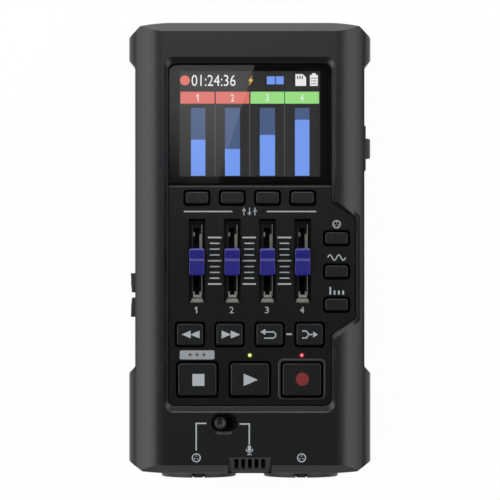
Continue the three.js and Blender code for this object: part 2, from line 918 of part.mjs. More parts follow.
function makeBoard() {
  const side = waistInside - boardSideMargin;
  const notch = wheelThickness / 2 + 2 * clearance;
  const board = block(
    [-side, side],
    [caseBottom + boardJackMargin, caseTop - boardTopMargin],
    [boardBottom, boardTop],
  );
  const room = block(
    [dialX - wheelRadius - dialTravel - clearance, side + overrun],
    [dialY - notch, dialY + notch],
    [0, caseDepth],
  );
  return cut(board, room);
}

addPart("main_board", makeBoard(), finishes.board);

// Combination jacks, each made about its own axis

function makeJack() {
  const face = -jackReach;
  const backOfCollar = face + collarThickness;
  const bodyFront = wall + jackCrownDrop + clearance; // clear of the end wall where it bows in
  const bodyHalf = [jackBodyWidth / 2, jackBodyHeight / 2];
  const body = block(
    [-bodyHalf[0], bodyHalf[0]],
    [bodyFront, bodyFront + jackBodyLength],
    [-bodyHalf[1], bodyHalf[1]],
  );
  const collar = rod(collarRadius, face, backOfCollar, "y", [0, 0], 32);
  const barrel = rod(barrelRadius, face, bodyFront + clearance, "y", [0, 0], 32);
  const groove = cut(
    rod(grooveRadius, face - overrun, face + grooveDepth, "y"),
    rod(coreRadius, face + coreInset, face + grooveDepth + overrun, "y"),
  );
  const bore = rod(boreRadius, face - overrun, face + boreDepth, "y", [0, 0], 16);
  const pins = [90, 210, 330].map((degrees) => {
    const angle = THREE.MathUtils.degToRad(degrees - 180);
    const place = [pinCircle * Math.sin(angle), pinCircle * Math.cos(angle)];
    return rod(pinRadius, face - overrun, face + coreInset + pinDepth, "y", place, 8);
  });
  const tabRoom = block(
    [-tabWidth / 2 - clearance, tabWidth / 2 + clearance],
    [face - overrun, face + tabLength + tabTravel + clearance],
    [tabLevel - tabHeight / 2 - clearance, collarRadius + overrun],
  );
  return cut(join(body, collar, barrel), groove, bore, ...pins, tabRoom);
}

const tabLevel = barrelRadius - tabHeight / 2 - clearance;

function makeReleaseTab() {
  return block(
    [-tabWidth / 2, tabWidth / 2],
    [-jackReach, -jackReach + tabLength],
    [tabLevel - tabHeight / 2, tabLevel + tabHeight / 2],
  );
}

jackPlaces.forEach((x, i) => {
  const place = [x, caseBottom, jackLevel];
  const letter = "ab"[i];
  addPart("combo_jack_" + letter, makeJack(), finishes.blackPlastic, place);
  addPart("release_tab_" + letter, makeReleaseTab(), finishes.blackPlastic, place);
});

// Input switch

const switchTop = caseDepth - wall - clearance;

function makeSwitchBody() {
  const reach = wellRadius + switchBodyMargin;
  const body = block(
    [switchPlace[0] - reach, switchPlace[0] + switchTravel + reach],
    [switchPlace[1] - reach, switchPlace[1] + reach],
    [boardTop + clearance, switchTop],
  );
  const track = block(
    [
      switchPlace[0] - switchKnobRadius / 2 - clearance,
      switchPlace[0] + switchTravel + switchKnobRadius / 2 + clearance,
    ],
    [switchPlace[1] - switchKnobRadius / 2 - clearance, switchPlace[1] + switchKnobRadius / 2 + clearance],
    [switchTop - wall, caseDepth],
  );
  return cut(body, track);
}

function makeSwitchKnob() {
  const base = switchTop + clearance;
  const disc = rod(switchKnobRadius, base, base + switchKnobHeight, "z", [0, 0], 20);
  const dishFloor = base + switchKnobHeight * dishFloorShare;
  const dish = rod(
    switchKnobRadius * dishRadiusShare, dishFloor, base + 2 * switchKnobHeight, "z", [0, 0], 20,
  );
  const foot = switchKnobRadius / 2;
  const stem = block([-foot, foot], [-foot, foot], [switchTop - wall + clearance, base + clearance]);
  return join(cut(disc, dish), stem);
}

addPart("input_switch_body", makeSwitchBody(), finishes.blackPlastic);
addPart("input_switch_knob", makeSwitchKnob(), finishes.key, [...switchPlace, 0]);

// Microphone, made flat and tilted with its group

const microphone = new THREE.Group();
microphone.position.set(...grillePlace);
microphone.rotation.x = grilleTilt;
parts.add(microphone);

function makeGrille() {
  const plate = block(
    [-grilleWidth / 2, grilleWidth / 2],
    [-grilleLength / 2, grilleLength / 2],
    [-grilleThickness, 0],
  );
  const slots = range(0, grilleSlots - 1).map((i) => {
    const x = (i - (grilleSlots - 1) / 2) * grilleSlotPitch;
    return block(
      [x - grilleSlotWidth / 2, x + grilleSlotWidth / 2],
      [-grilleSlotLength / 2, grilleSlotLength / 2],
      [-grilleThickness - overrun, overrun],
    );
  });
  return cut(plate, ...slots);
}

const capsuleFront = -grilleThickness - clearance;
const capsule = rod(capsuleRadius, capsuleFront - capsuleLength, capsuleFront, "z", [0, 0], 16);
addPart("mic_grille", makeGrille(), finishes.shell, [0, 0, 0], microphone);
addPart("mic_capsule", capsule, finishes.steel, [0, 0, 0], microphone);

// Dial: a wheel on an axle that the ears of the encoder hold, behind a bezel

const earOffset = wheelThickness / 2 + clearance;
const axleHalf = earOffset + earThickness + axleEnd;

function makeWheel() {
  const halfThickness = wheelThickness / 2;
  const rim = wheelRadius - wheelRim;
  const profile = [
    [axleRadius + clearance, -halfThickness],
    [rim, -halfThickness],
    [wheelRadius, -halfThickness + wheelRim],
    [wheelRadius, halfThickness - wheelRim],
    [rim, halfThickness],
    [axleRadius + clearance, halfThickness],
    [axleRadius + clearance, -halfThickness],
  ].map(([r, y]) => new THREE.Vector2(r, y));
  return solid(new THREE.LatheGeometry(profile, 32));
}

function makeEncoder() {
  const back = dialX - wheelRadius - dialTravel - clearance;
  const ears = [-1, 1].map((side) => {
    const near = dialY + side * earOffset;
    const far = near + side * earThickness;
    return block(
      [back - earThickness, dialX + axleRadius + 3 * clearance],
      [Math.min(near, far), Math.max(near, far)],
      [underBoard - earHeight, underBoard],
    );
  });
  const backPlate = block(
    [back - earThickness, back],
    [dialY - earOffset - earThickness, dialY + earOffset + earThickness],
    [underBoard - earHeight, underBoard],
  );
  const slot = block(
    [dialX - dialTravel - axleRadius - clearance, dialX + axleRadius + clearance],
    [dialY - 2 * axleHalf, dialY + 2 * axleHalf],
    [dialLevel - axleRadius - clearance, dialLevel + axleRadius + clearance],
  );
  return cut(join(...ears, backPlate), slot);
}

function makeBezel() {
  const outside = waist + bezelReach;
  const plate = prism(
    softRectangle(bezelLength, bezelHeight, 2 * clearance, [dialY, dialLevel], 2),
    outside - bezelThickness,
    outside,
    "x",
  );
  const opening = block(
    [0, caseWidth],
    [dialY - wheelThickness / 2 - clearance, dialY + wheelThickness / 2 + clearance],
    [dialLevel - wheelRadius + clearance, dialLevel + wheelRadius - clearance],
  );
  return cut(plate, opening);
}

const dialPlace = [dialX, dialY, dialLevel];
addPart("dial_wheel", makeWheel(), finishes.blackPlastic, dialPlace);
addPart("dial_shaft", rod(axleRadius, -axleHalf, axleHalf, "y", [0, 0], 12), finishes.steel, dialPlace);
addPart("dial_encoder", makeEncoder(), finishes.steel);
addPart("dial_bezel", makeBezel(), finishes.blackPlastic);

// Volume buttons on the left, higher at their far ends

function makeVolumeButton(direction) {
  const flange = [-waistInside + clearance, -waistInside + clearance + flangeThickness];
  const [near, far] = [-direction * (volumeLength / 2), direction * (volumeLength / 2)];
  const face = outline([
    [flange[1], near],
    [-waist - volumeReach + volumeSlope, near],
    [-waist - volumeReach, far],
    [flange[1], far],
  ]);
  const cap = prism(face, sideLevel - volumeHeight / 2, sideLevel + volumeHeight / 2);
  const reach = [volumeLength / 2 + keyFlange, volumeHeight / 2 + keyFlange];
  const plate = block(
    flange,
    [-reach[0], reach[0]],
    [sideLevel - reach[1], sideLevel + reach[1]],
  );
  return join(cap, plate);
}

["volume_up_button", "volume_down_button"].forEach((name, i) => {
  addPart(name, makeVolumeButton(i ? -1 : 1), finishes.blackPlastic, [0, volumePlaces[i], 0]);
});

// Power switch on the left, flush with the grip

function makePowerSwitch() {
  const flange = [-waistInside + clearance, -waistInside + clearance + flangeThickness];
  const reach = [
    (powerKnobLength + powerTravel) / 2 + powerPlateMargin,
    powerKnobHeight / 2 + powerPlateMargin,
  ];
  const knob = block(
    [-waist + clearance / 2, flange[1]],
    [-powerKnobLength / 2, powerKnobLength / 2],
    [sideLevel - powerKnobHeight / 2, sideLevel + powerKnobHeight / 2],
  );
  const plate = block(flange, [-reach[0], reach[0]], [sideLevel - reach[1], sideLevel + reach[1]]);
  return join(knob, plate);
}

addPart("power_switch", makePowerSwitch(), finishes.key, [0, powerY, 0]);

// Sockets

function makePhonesJack() {
  const front = -waist;
  const barrel = rod(phonesRadius, front, front + wall + 2 * clearance, "x", [phonesY, sideLevel], 16);
  const reach = phonesRadius + clearance;
  const body = block(
    [-waistInside + clearance, -waistInside + clearance + phonesLength],
    [phonesY - reach, phonesY + reach],
    [sideLevel - reach, underBoard],
  );
  const bore = rod(phonesBore, front - overrun, front + phonesLength, "x", [phonesY, sideLevel], 12);
  return cut(join(body, barrel), bore);
}

function makeUsbPort() {
  const front = waist - clearance;
  const back = front - usbLength;
  const shell = prism(
    softRectangle(usbWidth, usbHeight, usbHeight / 2, [usbY, sideLevel], 4), back, front, "x",
  );
  const inside = [usbWidth - 2 * usbWall, usbHeight - 2 * usbWall];
  const mouth = prism(
    softRectangle(inside[0], inside[1], inside[1] / 2, [usbY, sideLevel], 4),
    back + usbWall,
    front + overrun,
    "x",
  );
  const tongue = block(
    [back, front - usbWall],
    [usbY - inside[0] / 3, usbY + inside[0] / 3],
    [sideLevel - usbWall, sideLevel + usbWall],
  );
  const feet = block(
    [back, waistInside - clearance],
    [usbY - usbWidth / 3, usbY + usbWidth / 3],
    [sideLevel + usbHeight / 2 - usbWall, underBoard],
  );
  return join(cut(shell, mouth), tongue, feet);
}

addPart("phones_jack", makePhonesJack(), finishes.blackPlastic);
addPart("usb_port", makeUsbPort(), finishes.steel);

function makeCard() {
  const front = waist - clearance;
  return block(
    [front - cardLength + 2 * clearance, front],
    [cardY - cardWidth / 2, cardY + cardWidth / 2],
    [sideLevel - cardThickness / 2, sideLevel + cardThickness / 2],
  );
}

addPart("memory_card", makeCard(), finishes.blackPlastic);

// Batteries and their cover

function makeCell() {
  const start = -(cellLength + cellTipLength) / 2;
  return join(
    rod(cellRadius, start, start + cellLength, "y", [0, 0], 20),
    rod(cellTipRadius, start + cellLength - clearance, start + cellLength + cellTipLength, "y", [0, 0], 10),
  );
}

["battery_cell_1", "battery_cell_2"].forEach((name, i) => {
  const cell = addPart(name, makeCell(), finishes.cell, [(i - 0.5) * cellPitch, bayMiddle, cellLevel]);
  cell.rotation.z = i * Math.PI;
});

addPart("battery_cover", bayBox(coverMargin, restInset, coverTop), finishes.shell);

// Screws from the back and the tripod insert

function makeScrew() {
  const head = rod(screwHeadRadius, -screwHeadHeight, 0, "z", [0, 0], 16);
  const shank = rod(screwRadius, -clearance, screwLength, "z", [0, 0], 10);
  const recess = screwHeadRadius / 2;
  const cross = [
    block([-recess, recess], [-recess / 4, recess / 4], [-screwHeadHeight - overrun, -screwHeadHeight / 2]),
    block([-recess / 4, recess / 4], [-recess, recess], [-screwHeadHeight - overrun, -screwHeadHeight / 2]),
  ];
  return cut(join(head, shank), ...cross);
}

screwPlaces.forEach(([x, y], i) => {
  addPart("case_screw_" + (i + 1), makeScrew(), finishes.steel, [x, y, screwSeat - clearance]);
});

const insert = cut(
  rod(insertRadius, restInset, restInset + insertLength, "z", [0, 0]),
  rod(insertBore, -overrun, caseDepth, "z", [0, 0], 16),
);
addPart("tripod_insert", insert, finishes.brass, [0, insertMiddle, 0]);

export default parts;
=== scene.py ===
# Looks for a handheld digital multitrack recorder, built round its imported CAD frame.
# The recorder lies on its back: controls face +Z, jacks face -Y, +X is right of the display.
# Lengths are in millimetres up to the point where a mesh is made; Blender's unit is the metre.
from contextlib import contextmanager
from math import atan2, cos, degrees, pi, radians, sin, tan

import bmesh
import bpy
from mathutils import Matrix, Vector


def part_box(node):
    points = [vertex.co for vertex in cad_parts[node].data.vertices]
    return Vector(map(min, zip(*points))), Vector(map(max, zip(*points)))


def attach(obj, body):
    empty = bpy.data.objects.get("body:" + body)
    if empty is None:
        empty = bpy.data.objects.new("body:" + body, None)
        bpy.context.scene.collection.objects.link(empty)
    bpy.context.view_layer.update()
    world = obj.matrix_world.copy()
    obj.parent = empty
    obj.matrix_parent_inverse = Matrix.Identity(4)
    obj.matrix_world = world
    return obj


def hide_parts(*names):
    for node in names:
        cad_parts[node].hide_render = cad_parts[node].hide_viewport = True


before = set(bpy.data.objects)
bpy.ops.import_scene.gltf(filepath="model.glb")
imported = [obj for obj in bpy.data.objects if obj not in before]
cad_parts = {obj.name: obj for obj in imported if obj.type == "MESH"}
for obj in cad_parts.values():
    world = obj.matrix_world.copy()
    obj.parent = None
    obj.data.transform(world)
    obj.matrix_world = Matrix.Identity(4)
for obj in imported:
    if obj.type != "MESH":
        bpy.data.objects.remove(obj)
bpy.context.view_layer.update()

MM = 0.001

# Levels that the pieces share, measured from the table
FRONT = 42.0  # front face of the case
PANEL = 40.2  # control panel and window
PANEL_BACK = 38.4
SEAT = 38.1  # ledge under the panel
PICTURE = 37.8  # face of the display behind the window
KEY_TOP, KEY_FOOT = 41.2, 37.1
SEAM = 20.5
GAP = 0.3  # between neighbouring pieces
INK = 0.03  # thickness of printed marks
LAYER = 0.02  # thickness of each layer of the display's picture
MIDDLE = 0.35  # the drawing starts in the middle of the picture, this far above the frame's origin

# Places
TOP, BOTTOM = 66.15, -65.05  # ends of the case
SIDE, GRIP = 35.25, 33.4  # half widths of the end bands and of the grip between them
GRIP_START, GRIP_END = -33.95, 53.25
RECESS_TOP, RECESS_BOTTOM = 54.35, -45.4
BAY = 30.9  # from the middle to the side of the keys' bay
WINDOW = 19.15  # where the window meets the panel
JACKS = (-15.1, 15.1)
JACK_FACE = -66.85
SWITCH = (-7.5, -50.35)  # middle of the input switch's well
SIDE_LEVEL = 26.0  # middles of the controls and sockets on the sides
PHONES, USB = (39.15, SIDE_LEVEL), (4.15, SIDE_LEVEL)
VOLUME_UP, VOLUME_DOWN, POWER = -9.65, -16.85, 23.65  # places along y
DIAL = (28.4, 28.3)  # across and up; its axle runs along y
BEZEL = (29.75, 28.3)  # along and up
INSERT = (0, -30.6)  # the tripod's thread
TRACKS = [i * 10.2531 for i in (-1.5, -0.5, 0.5, 1.5)]
SLOT_Y, FADER_Y = -3.22, -3.42

# Camera, in metres and in millimetres of lens
EYE = (0.00005, 0.00035, 1.13)
LENS, SENSOR = 269.6, 36
PIXELS = 500  # sides of the photograph


# Modelling helpers


def only(*objects):
    """Selects these objects and nothing else; the first one is active."""
    bpy.ops.object.select_all(action="DESELECT")
    for obj in objects:
        obj.select_set(True)
    bpy.context.view_layer.objects.active = objects[0]


def named(name):
    obj = bpy.context.object
    obj.name = obj.data.name = name
    return obj


@contextmanager
def editing(obj, kind="FACE", where=None):
    """Edit mode with the faces or edges selected for which where() says yes."""
    only(obj)
    bpy.ops.object.mode_set(mode="EDIT")
    bpy.ops.mesh.select_mode(type=kind)
    bpy.ops.mesh.select_all(action="DESELECT" if where else "SELECT")
    if where:
        mesh = bmesh.from_edit_mesh(obj.data)
        for item in mesh.faces if kind == "FACE" else mesh.edges:
            if where(item):
                item.select_set(True)
        mesh.select_flush_mode()
        bmesh.update_edit_mesh(obj.data)
    yield
    bpy.ops.object.mode_set(mode="OBJECT")


def extent(places):
    """The least and the greatest of each coordinate."""
    return [Vector(pick(p[i] for p in places) for i in range(3)) for pick in (min, max)]


def level(item):
    """The lowest and highest corner of a face or an edge, in millimetres."""
    return extent([v.co / MM for v in item.verts])


def above(z):
    """Picks the faces or edges that lie wholly above a level."""
    return lambda item: level(item)[0].z > z


def apply(obj, kind, **settings):
    """Adds a modifier with its settings and applies it."""
    only(obj)
    modifier = obj.modifiers.new(kind.lower(), kind)
    for key, value in settings.items():
        setattr(modifier, key, value)
    bpy.ops.object.modifier_apply(modifier=modifier.name)
    return obj


def combine(obj, operation, tools):
    for tool in tools:
        apply(obj, "BOOLEAN", operation=operation, object=tool, solver="MANIFOLD")
        bpy.data.objects.remove(tool)
    return obj


def cut(obj, *tools):
    return combine(obj, "DIFFERENCE", tools)


def unite(obj, *tools):
    return combine(obj, "UNION", tools)


def meet(obj, *tools):
    return combine(obj, "INTERSECT", tools)


def merged(name, objects):
    """Several objects as one mesh."""
    only(*objects)
    bpy.ops.object.join()
    return named(name)


def soften(obj, width, segments=2, angle=30):
    """Rounds the edges that are sharper than an angle."""
    return apply(
        obj, "BEVEL", width=width * MM, segments=segments,
        limit_method="ANGLE", angle_limit=radians(angle),
    )


def block(name, low, high):
    low, high = Vector(low), Vector(high)
    bpy.ops.mesh.primitive_cube_add(size=MM, location=(low + high) / 2 * MM, scale=high - low)
    bpy.ops.object.transform_apply()
    return named(name)


TURNS = {"X": (0, pi / 2, 0), "Y": (pi / 2, 0, 0), "Z": (0, 0, 0)}


def spot(a, b, depth, axis):
    """A point from its two flat coordinates and its level along the axis."""
    return Vector({"X": (depth, a, b), "Y": (a, depth, b), "Z": (a, b, depth)}[axis]) * MM


def slab(low, high, first=-70, last=70):
    """All that lies between two levels, over the whole case or from one place along it to another."""
    return block("slab", (-40, first, low), (40, last, high))


def rod(name, radius, start, end, axis="Z", centre=(0, 0), sides=48):
    bpy.ops.mesh.primitive_cylinder_add(
        vertices=sides, radius=radius * MM, depth=(end - start) * MM,
        location=spot(*centre, (start + end) / 2, axis), rotation=TURNS[axis],
    )
    bpy.ops.object.transform_apply()
    return named(name)


def extrude(rise, axis="Z"):
    bpy.ops.mesh.extrude_region_move(TRANSFORM_OT_translate={"value": spot(0, 0, rise, axis)})


def resize(x, y, centre):
    """Scales what is selected, across and along, about a place."""
    bpy.ops.transform.resize(value=(x, y, 1), center_override=Vector(centre) * MM)


def bevel(width, segments):
    bpy.ops.mesh.bevel(offset=width * MM, segments=segments, affect="EDGES")


def face_outwards():
    bpy.ops.mesh.select_all(action="SELECT")
    bpy.ops.mesh.normals_make_consistent(inside=False)


def prism(name, points, start, end, axis="Z"):
    """An outline extruded along an axis: drawn in (x, y), in (x, z) for Y and in (y, z) for X."""
    bpy.ops.mesh.primitive_circle_add(vertices=len(points), fill_type="NGON")
    obj = named(name)
    for vertex, (a, b) in zip(obj.data.vertices, points):
        vertex.co = spot(a, b, start, axis)
    with editing(obj):
        extrude(end - start, axis)
        face_outwards()
    return obj


def turned(name, profile, axis="Z", centre=(0, 0), steps=48):
    """A closed profile of (radius, level) spun about an axis."""
    bpy.ops.mesh.primitive_circle_add(vertices=len(profile))
    obj = named(name)
    for vertex, (radius, depth) in zip(obj.data.vertices, profile):
        vertex.co = spot(centre[0] + radius, centre[1], depth, axis)
    with editing(obj, "EDGE"):
        bpy.ops.mesh.spin(
            steps=steps, angle=2 * pi, center=spot(*centre, 0, axis), axis=spot(0, 0, 1, axis)
        )
        bpy.ops.mesh.select_all(action="SELECT")
        bpy.ops.mesh.remove_doubles(threshold=0.002 * MM)
        face_outwards()
    return obj


def linked(obj):
    bpy.context.scene.collection.objects.link(obj)
    return obj


def copy_of(obj, name, shift):
    """A copy with a mesh of its own, moved by so much."""
    other = obj.copy()
    other.data = obj.data.copy()
    other.name = other.data.name = name
    other.data.transform(Matrix.Translation(Vector(shift) * MM))
    return linked(other)


# Outlines


def arc(centre, radius, first, last, steps=16):
    """Points on an arc from one angle to another, in degrees."""
    angles = [radians(first + (last - first) * i / steps) for i in range(steps + 1)]
    return [(centre[0] + radius * cos(a), centre[1] + radius * sin(a)) for a in angles]


def three_round(centre, radius):
    """Three places round a centre, one above it."""
    return [arc(centre, radius, a, a, 1)[0] for a in (90, 210, 330)]


def rounded(corners, steps=6):
    """An outline from (x, y, radius) corners."""
    points = []
    for i, (x, y, radius) in enumerate(corners):
        here = Vector((x, y))
        before = (Vector(corners[i - 1][:2]) - here).normalized()
        after = (Vector(corners[(i + 1) % len(corners)][:2]) - here).normalized()
        if not radius:
            points.append((x, y))
            continue
        half = before.angle(after) / 2
        middle = here + (before + after).normalized() * radius / sin(half)
        run = radius / tan(half)
        first = here + before * run - middle
        last = here + after * run - middle
        start = atan2(first.y, first.x)
        sweep = (atan2(last.y, last.x) - start + pi) % (2 * pi) - pi
        points += arc(middle, radius, degrees(start), degrees(start + sweep), steps)
    return points


def soft_box(width, length, radius, centre=(0, 0), steps=6):
    """A rectangle with rounded corners."""
    x, y = width / 2, length / 2
    corners = [(x, -y), (x, y), (-x, y), (-x, -y)]
    return rounded([(centre[0] + a, centre[1] + b, radius) for a, b in corners], steps)


def stroke(points, width):
    """The outline of a line drawn with a pen of some width."""
    sides = [[], []]
    for i, point in enumerate(points):
        here = Vector(point)
        before = (here - Vector(points[i - 1])).normalized() if i else None
        after = (Vector(points[i + 1]) - here).normalized() if i + 1 < len(points) else None
        before, after = before or after, after or before
        along = (before + after).normalized()
        across = Vector((-along.y, along.x)) * width / 2 / max(along.dot(before), 0.3)
        sides[0].append(tuple(here + across))
        sides[1].append(tuple(here - across))
    return sides[0] + sides[1][::-1]


def plan(inset):
    """The case from the front: end bands, a narrower grip between them and bowed ends."""
    side, grip = SIDE - inset, GRIP - inset
    top, bottom = TOP - inset, BOTTOM + inset

    def bow(corner, edge, drop):
        shares = [i / 12 for i in range(13)]
        return [(corner - 9.5 * s, edge - drop * (1 - s) ** 2, 0) for s in shares]

    half = [
        *reversed(bow(side - 4, bottom, -0.6)),
        (side, bottom + 3.52, 0.8),
        (side, GRIP_START - 2, 1),
        (grip, GRIP_START, 1),
        (grip, GRIP_END, 1),
        (side, GRIP_END + 2, 1),
        (side, top - 4.3, 1.2),
        *bow(side - 3.3, top, 1),
    ]
    return rounded(half + [(-x, y, radius) for x, y, radius in reversed(half)])


def section(inset, base):
    """Across the case: rounded rear corners and wide elliptical shoulders."""
    side, front = SIDE - inset, FRONT - inset
    rear, width, drop = 3 - inset / 2, 10.85 - inset, 6.5 - inset
    steps = 28
    turns = [radians(90 * i / steps) for i in range(steps + 1)]
    corner = [(side - rear * (1 - sin(t)), base + rear * (1 - cos(t))) for t in turns[::4]]
    shoulder = [
        (side - width * (1 - cos(t)), front - drop * (1 - sin(t))) for t in turns
    ]
    half = corner + shoulder
    return half + [(-x, z) for x, z in reversed(half)]


def profile(inset):
    """Along the case, in (y, z): chamfered at every end."""
    top, bottom, front = TOP - inset, BOTTOM + inset, FRONT - inset
    return rounded([
        (bottom, inset + 2, 0.4), (bottom + 2, inset, 0.4),
        (top - 2, inset, 0.4), (top, inset + 2, 0.4),
        (top, front - 2.5, 0.4), (top - 2.5, front, 0.4),
        (bottom + 2.6, front, 0.4), (bottom, front - 2.6, 0.4),
    ], 3)


def recess(grow):
    """The recess for the controls, with its bay on the right."""
    half, bay = 23.9 + grow, BAY + grow
    top, bottom = RECESS_TOP + grow, RECESS_BOTTOM - grow
    corner = 2.6 + grow
    return rounded([
        (half, bottom, corner),
        (half, -24.57 - grow / 2, 1.4),
        (bay, -20.07 - grow / 2, 1.4),
        (bay, 9.53 + grow / 2, 1.4),
        (half, 14.03 + grow / 2, 1.4),
        (half, top, corner),
        (-half, top, corner),
        (-half, bottom, corner),
    ], 8)


# Finishes


def colour(value):
    """An sRGB hex value as linear red, green, blue and alpha."""
    parts = [int(value[i:i + 2], 16) / 255 for i in (1, 3, 5)]
    linear = [p / 12.92 if p <= 0.04045 else ((p + 0.055) / 1.055) ** 2.4 for p in parts]
    return (*linear, 1)


def add_node(tree, kind, inputs=(), **settings):
    """Adds a shader node; an input is a value or another node's output socket."""
    node = tree.nodes.new("ShaderNode" + kind)
    for key, value in settings.items():
        setattr(node, key, value)
    for key, value in dict(inputs).items():
        if isinstance(value, bpy.types.NodeSocket):
            tree.links.new(value, node.inputs[key])
        else:
            node.inputs[key].default_value = value
    return node


def blank(name):
    """A material with an empty tree, and the tree."""
    material = bpy.data.materials.new(name)
    material.use_nodes = True
    material.node_tree.nodes.clear()
    return material, material.node_tree


def surface(material, inputs, kind="BsdfPrincipled"):
    """Gives a material its shader."""
    tree = material.node_tree
    shader = add_node(tree, kind, inputs)
    add_node(tree, "OutputMaterial", {"Surface": shader.outputs[0]})
    return material


def object_place(tree):
    return add_node(tree, "TexCoord").outputs["Object"]


def noise(tree, place, scale, detail=2):
    return add_node(tree, "TexNoise", {"Vector": place, "Scale": scale, "Detail": detail}).outputs["Fac"]


def blend(tree, share, first, last):
    """A colour between two others."""
    inputs = {0: share, 6: colour(first), 7: colour(last)}
    return add_node(tree, "Mix", inputs, data_type="RGBA").outputs[2]


def spread(tree, value, low, high, **limits):
    """Spreads a value that runs from 0 to 1 over another range."""
    inputs = {"Value": value, "To Min": low, "To Max": high, **limits}
    return add_node(tree, "MapRange", inputs).outputs[0]


def bumps(tree, height, relief):
    return add_node(tree, "Bump", {"Height": height, "Distance": relief * MM}).outputs[0]


def plastic(name, base, pale, roughness, grain, relief, specular=0.5):
    """Moulded plastic: a little mottled, with the fine grain that the spark-eroded mould leaves."""
    material, tree = blank(name)
    place = object_place(tree)
    mottle = noise(tree, place, 1 / (9 * MM), 3)
    grit = noise(tree, place, 1 / (grain * MM))
    return surface(material, {
        "Base Color": blend(tree, mottle, base, pale),
        "Roughness": spread(tree, grit, roughness - 0.05, roughness + 0.05),
        "Normal": bumps(tree, grit, relief), "Specular IOR Level": specular,
    })


def metal(name, base, pale, roughness, streak, axis):
    """Plated or turned metal: drawn out along one axis into fine streaks."""
    material, tree = blank(name)
    stretch = [1 / (streak * MM)] * 3
    stretch["XYZ".index(axis)] /= 12
    lined = add_node(tree, "Mapping", {"Vector": object_place(tree), "Scale": stretch})
    streaks = noise(tree, lined.outputs[0], 1, 3)
    return surface(material, {
        "Base Color": blend(tree, streaks, base, pale),
        "Roughness": spread(tree, streaks, roughness - 0.1, roughness + 0.1),
        "Normal": bumps(tree, streaks, 0.01), "Metallic": 1,
    })


def glowing(name, tint, strength=1.0):
    """A lit part of the display, with the faint columns of its pixels."""
    material, tree = blank(name)
    pixel = 0.1275 * MM
    columns = add_node(
        tree, "TexWave", {"Vector": object_place(tree), "Scale": 2 * pi / (20 * pixel)},
        bands_direction="X",
    )
    return surface(material, {
        "Base Color": (0.01, 0.01, 0.01, 1), "Roughness": 0.6, "Specular IOR Level": 0.1,
        "Emission Color": colour(tint),
        "Emission Strength": spread(tree, columns.outputs["Fac"], 0.9 * strength, 1.05 * strength),
    })


def make_acrylic():
    """Clear cast acrylic: no colour, a hard gloss."""
    material, tree = blank("clear_acrylic")
    waves = noise(tree, object_place(tree), 1 / (30 * MM))
    return surface(material, {
        "Base Color": (1, 1, 1, 1), "Roughness": spread(tree, waves, 0.004, 0.012), "IOR": 1.49,
        "Transmission Weight": 1,
    })


def make_lamp(name, core, rim):
    """A lit light pipe: a bright core that falls off to a deeper colour at its rim."""
    material, tree = blank(name)
    facing = add_node(tree, "LayerWeight", {"Blend": 0.35}).outputs["Facing"]
    return surface(material, {
        "Base Color": colour(rim), "Roughness": 0.25, "Emission Strength": 1.0,
        "Emission Color": blend(tree, facing, core, rim),
    })


# Charcoal ABS of the two shells: fine spark texture, a dull sheen on the shoulders
shell_abs = plastic("spark_textured_abs", "#0b0c0d", "#0e0f10", 0.29, 0.28, 0.012)
# Darker ABS of the recessed panel, a finer texture
panel_abs = plastic("fine_textured_abs", "#09090a", "#0c0c0d", 0.25, 0.22, 0.007)
# Key caps: smooth ABS with the slight gloss of a moulded button
key_abs = plastic("smooth_key_abs", "#0f1011", "#111213", 0.27, 0.3, 0.001)
# Fader caps: violet-blue ABS, satin
blue_abs = plastic("blue_cap_abs", "#191969", "#1b1b6f", 0.26, 0.25, 0.002, 0.8)
# Black nylon of jacks, dial and side buttons
nylon = plastic("black_nylon", "#161718", "#1c1d1e", 0.45, 0.3, 0.006)
# Guard ring: a slightly paler shot of the panel's ABS, partly a painted highlight on its bead
ring_abs_and_painted_highlight = plastic("ring_abs_and_painted_highlight", "#1c1c1e", "#232325", 0.3, 0.22, 0.004)
# Paler ABS of the microphone's grille; on the panel's edge under the window the same pale colour is a
# painted highlight
pale_abs_and_painted_highlight = plastic("pale_abs_and_painted_highlight", "#333336", "#3a3a3d", 0.36, 0.22, 0.006)
# Dull black of the faders' bodies, darkened further as painted shade of the slots they sit in
fader_abs_and_painted_shade = plastic("black_fader_abs_and_painted_shade", "#050506", "#080809", 0.6, 0.3, 0.004, 0.15)
# Screen-printed pale grey ink: flat, slightly grainy
ink = plastic("pale_print_ink", "#90969a", "#989ea2", 0.6, 0.15, 0.002)
# The plain label over the stop key is printed a little greyer
label_ink = plastic("grey_print_ink", "#7d8387", "#858b8f", 0.6, 0.15, 0.002)
# Its dots
dark_ink = plastic("dark_print_ink", "#26292b", "#2c2f31", 0.6, 0.15, 0.002)
# The disc of the record key
red_ink = plastic("red_print_ink", "#640409", "#6c070d", 0.5, 0.15, 0.002)
# Black ink printed on the underside of the window
mask_ink = plastic("black_window_print", "#060607", "#08080a", 0.5, 0.3, 0.001, 0.05)
# Nickel-plated sheet steel: greyish mirror, streaked by rolling
nickel = metal("nickel_plated_steel", "#8f8f8a", "#b5b4ac", 0.34, 0.15, "Y")
# The faders' folded sheet: the same plating, darker and duller
fader_steel = metal("dull_plated_sheet", "#77766f", "#8a8983", 0.5, 0.15, "Y")
zinc = metal("zinc_plated_screw_steel", "#8d8f93", "#a9abad", 0.36, 0.2, "Z")
brass = metal("turned_brass", "#a98845", "#c8a860", 0.3, 0.12, "Z")
gold = metal("gold_plated_contact", "#b8923c", "#d6b45a", 0.28, 0.2, "X")
# Foil-like printed sleeve of the plain cells
sleeve = metal("plain_cell_sleeve", "#7d8287", "#9a9fa4", 0.4, 0.4, "Y")
# Dull black behind the sound holes and under the switch; in the gaps round the keys it is painted shade
felt_and_painted_shade = plastic("black_felt_and_painted_shade", "#050506", "#08080a", 0.9, 0.1, 0.004, 0.1)
# Green solder mask over glass-epoxy
solder_mask = plastic("green_solder_mask", "#1c4a2b", "#245636", 0.35, 0.5, 0.01)
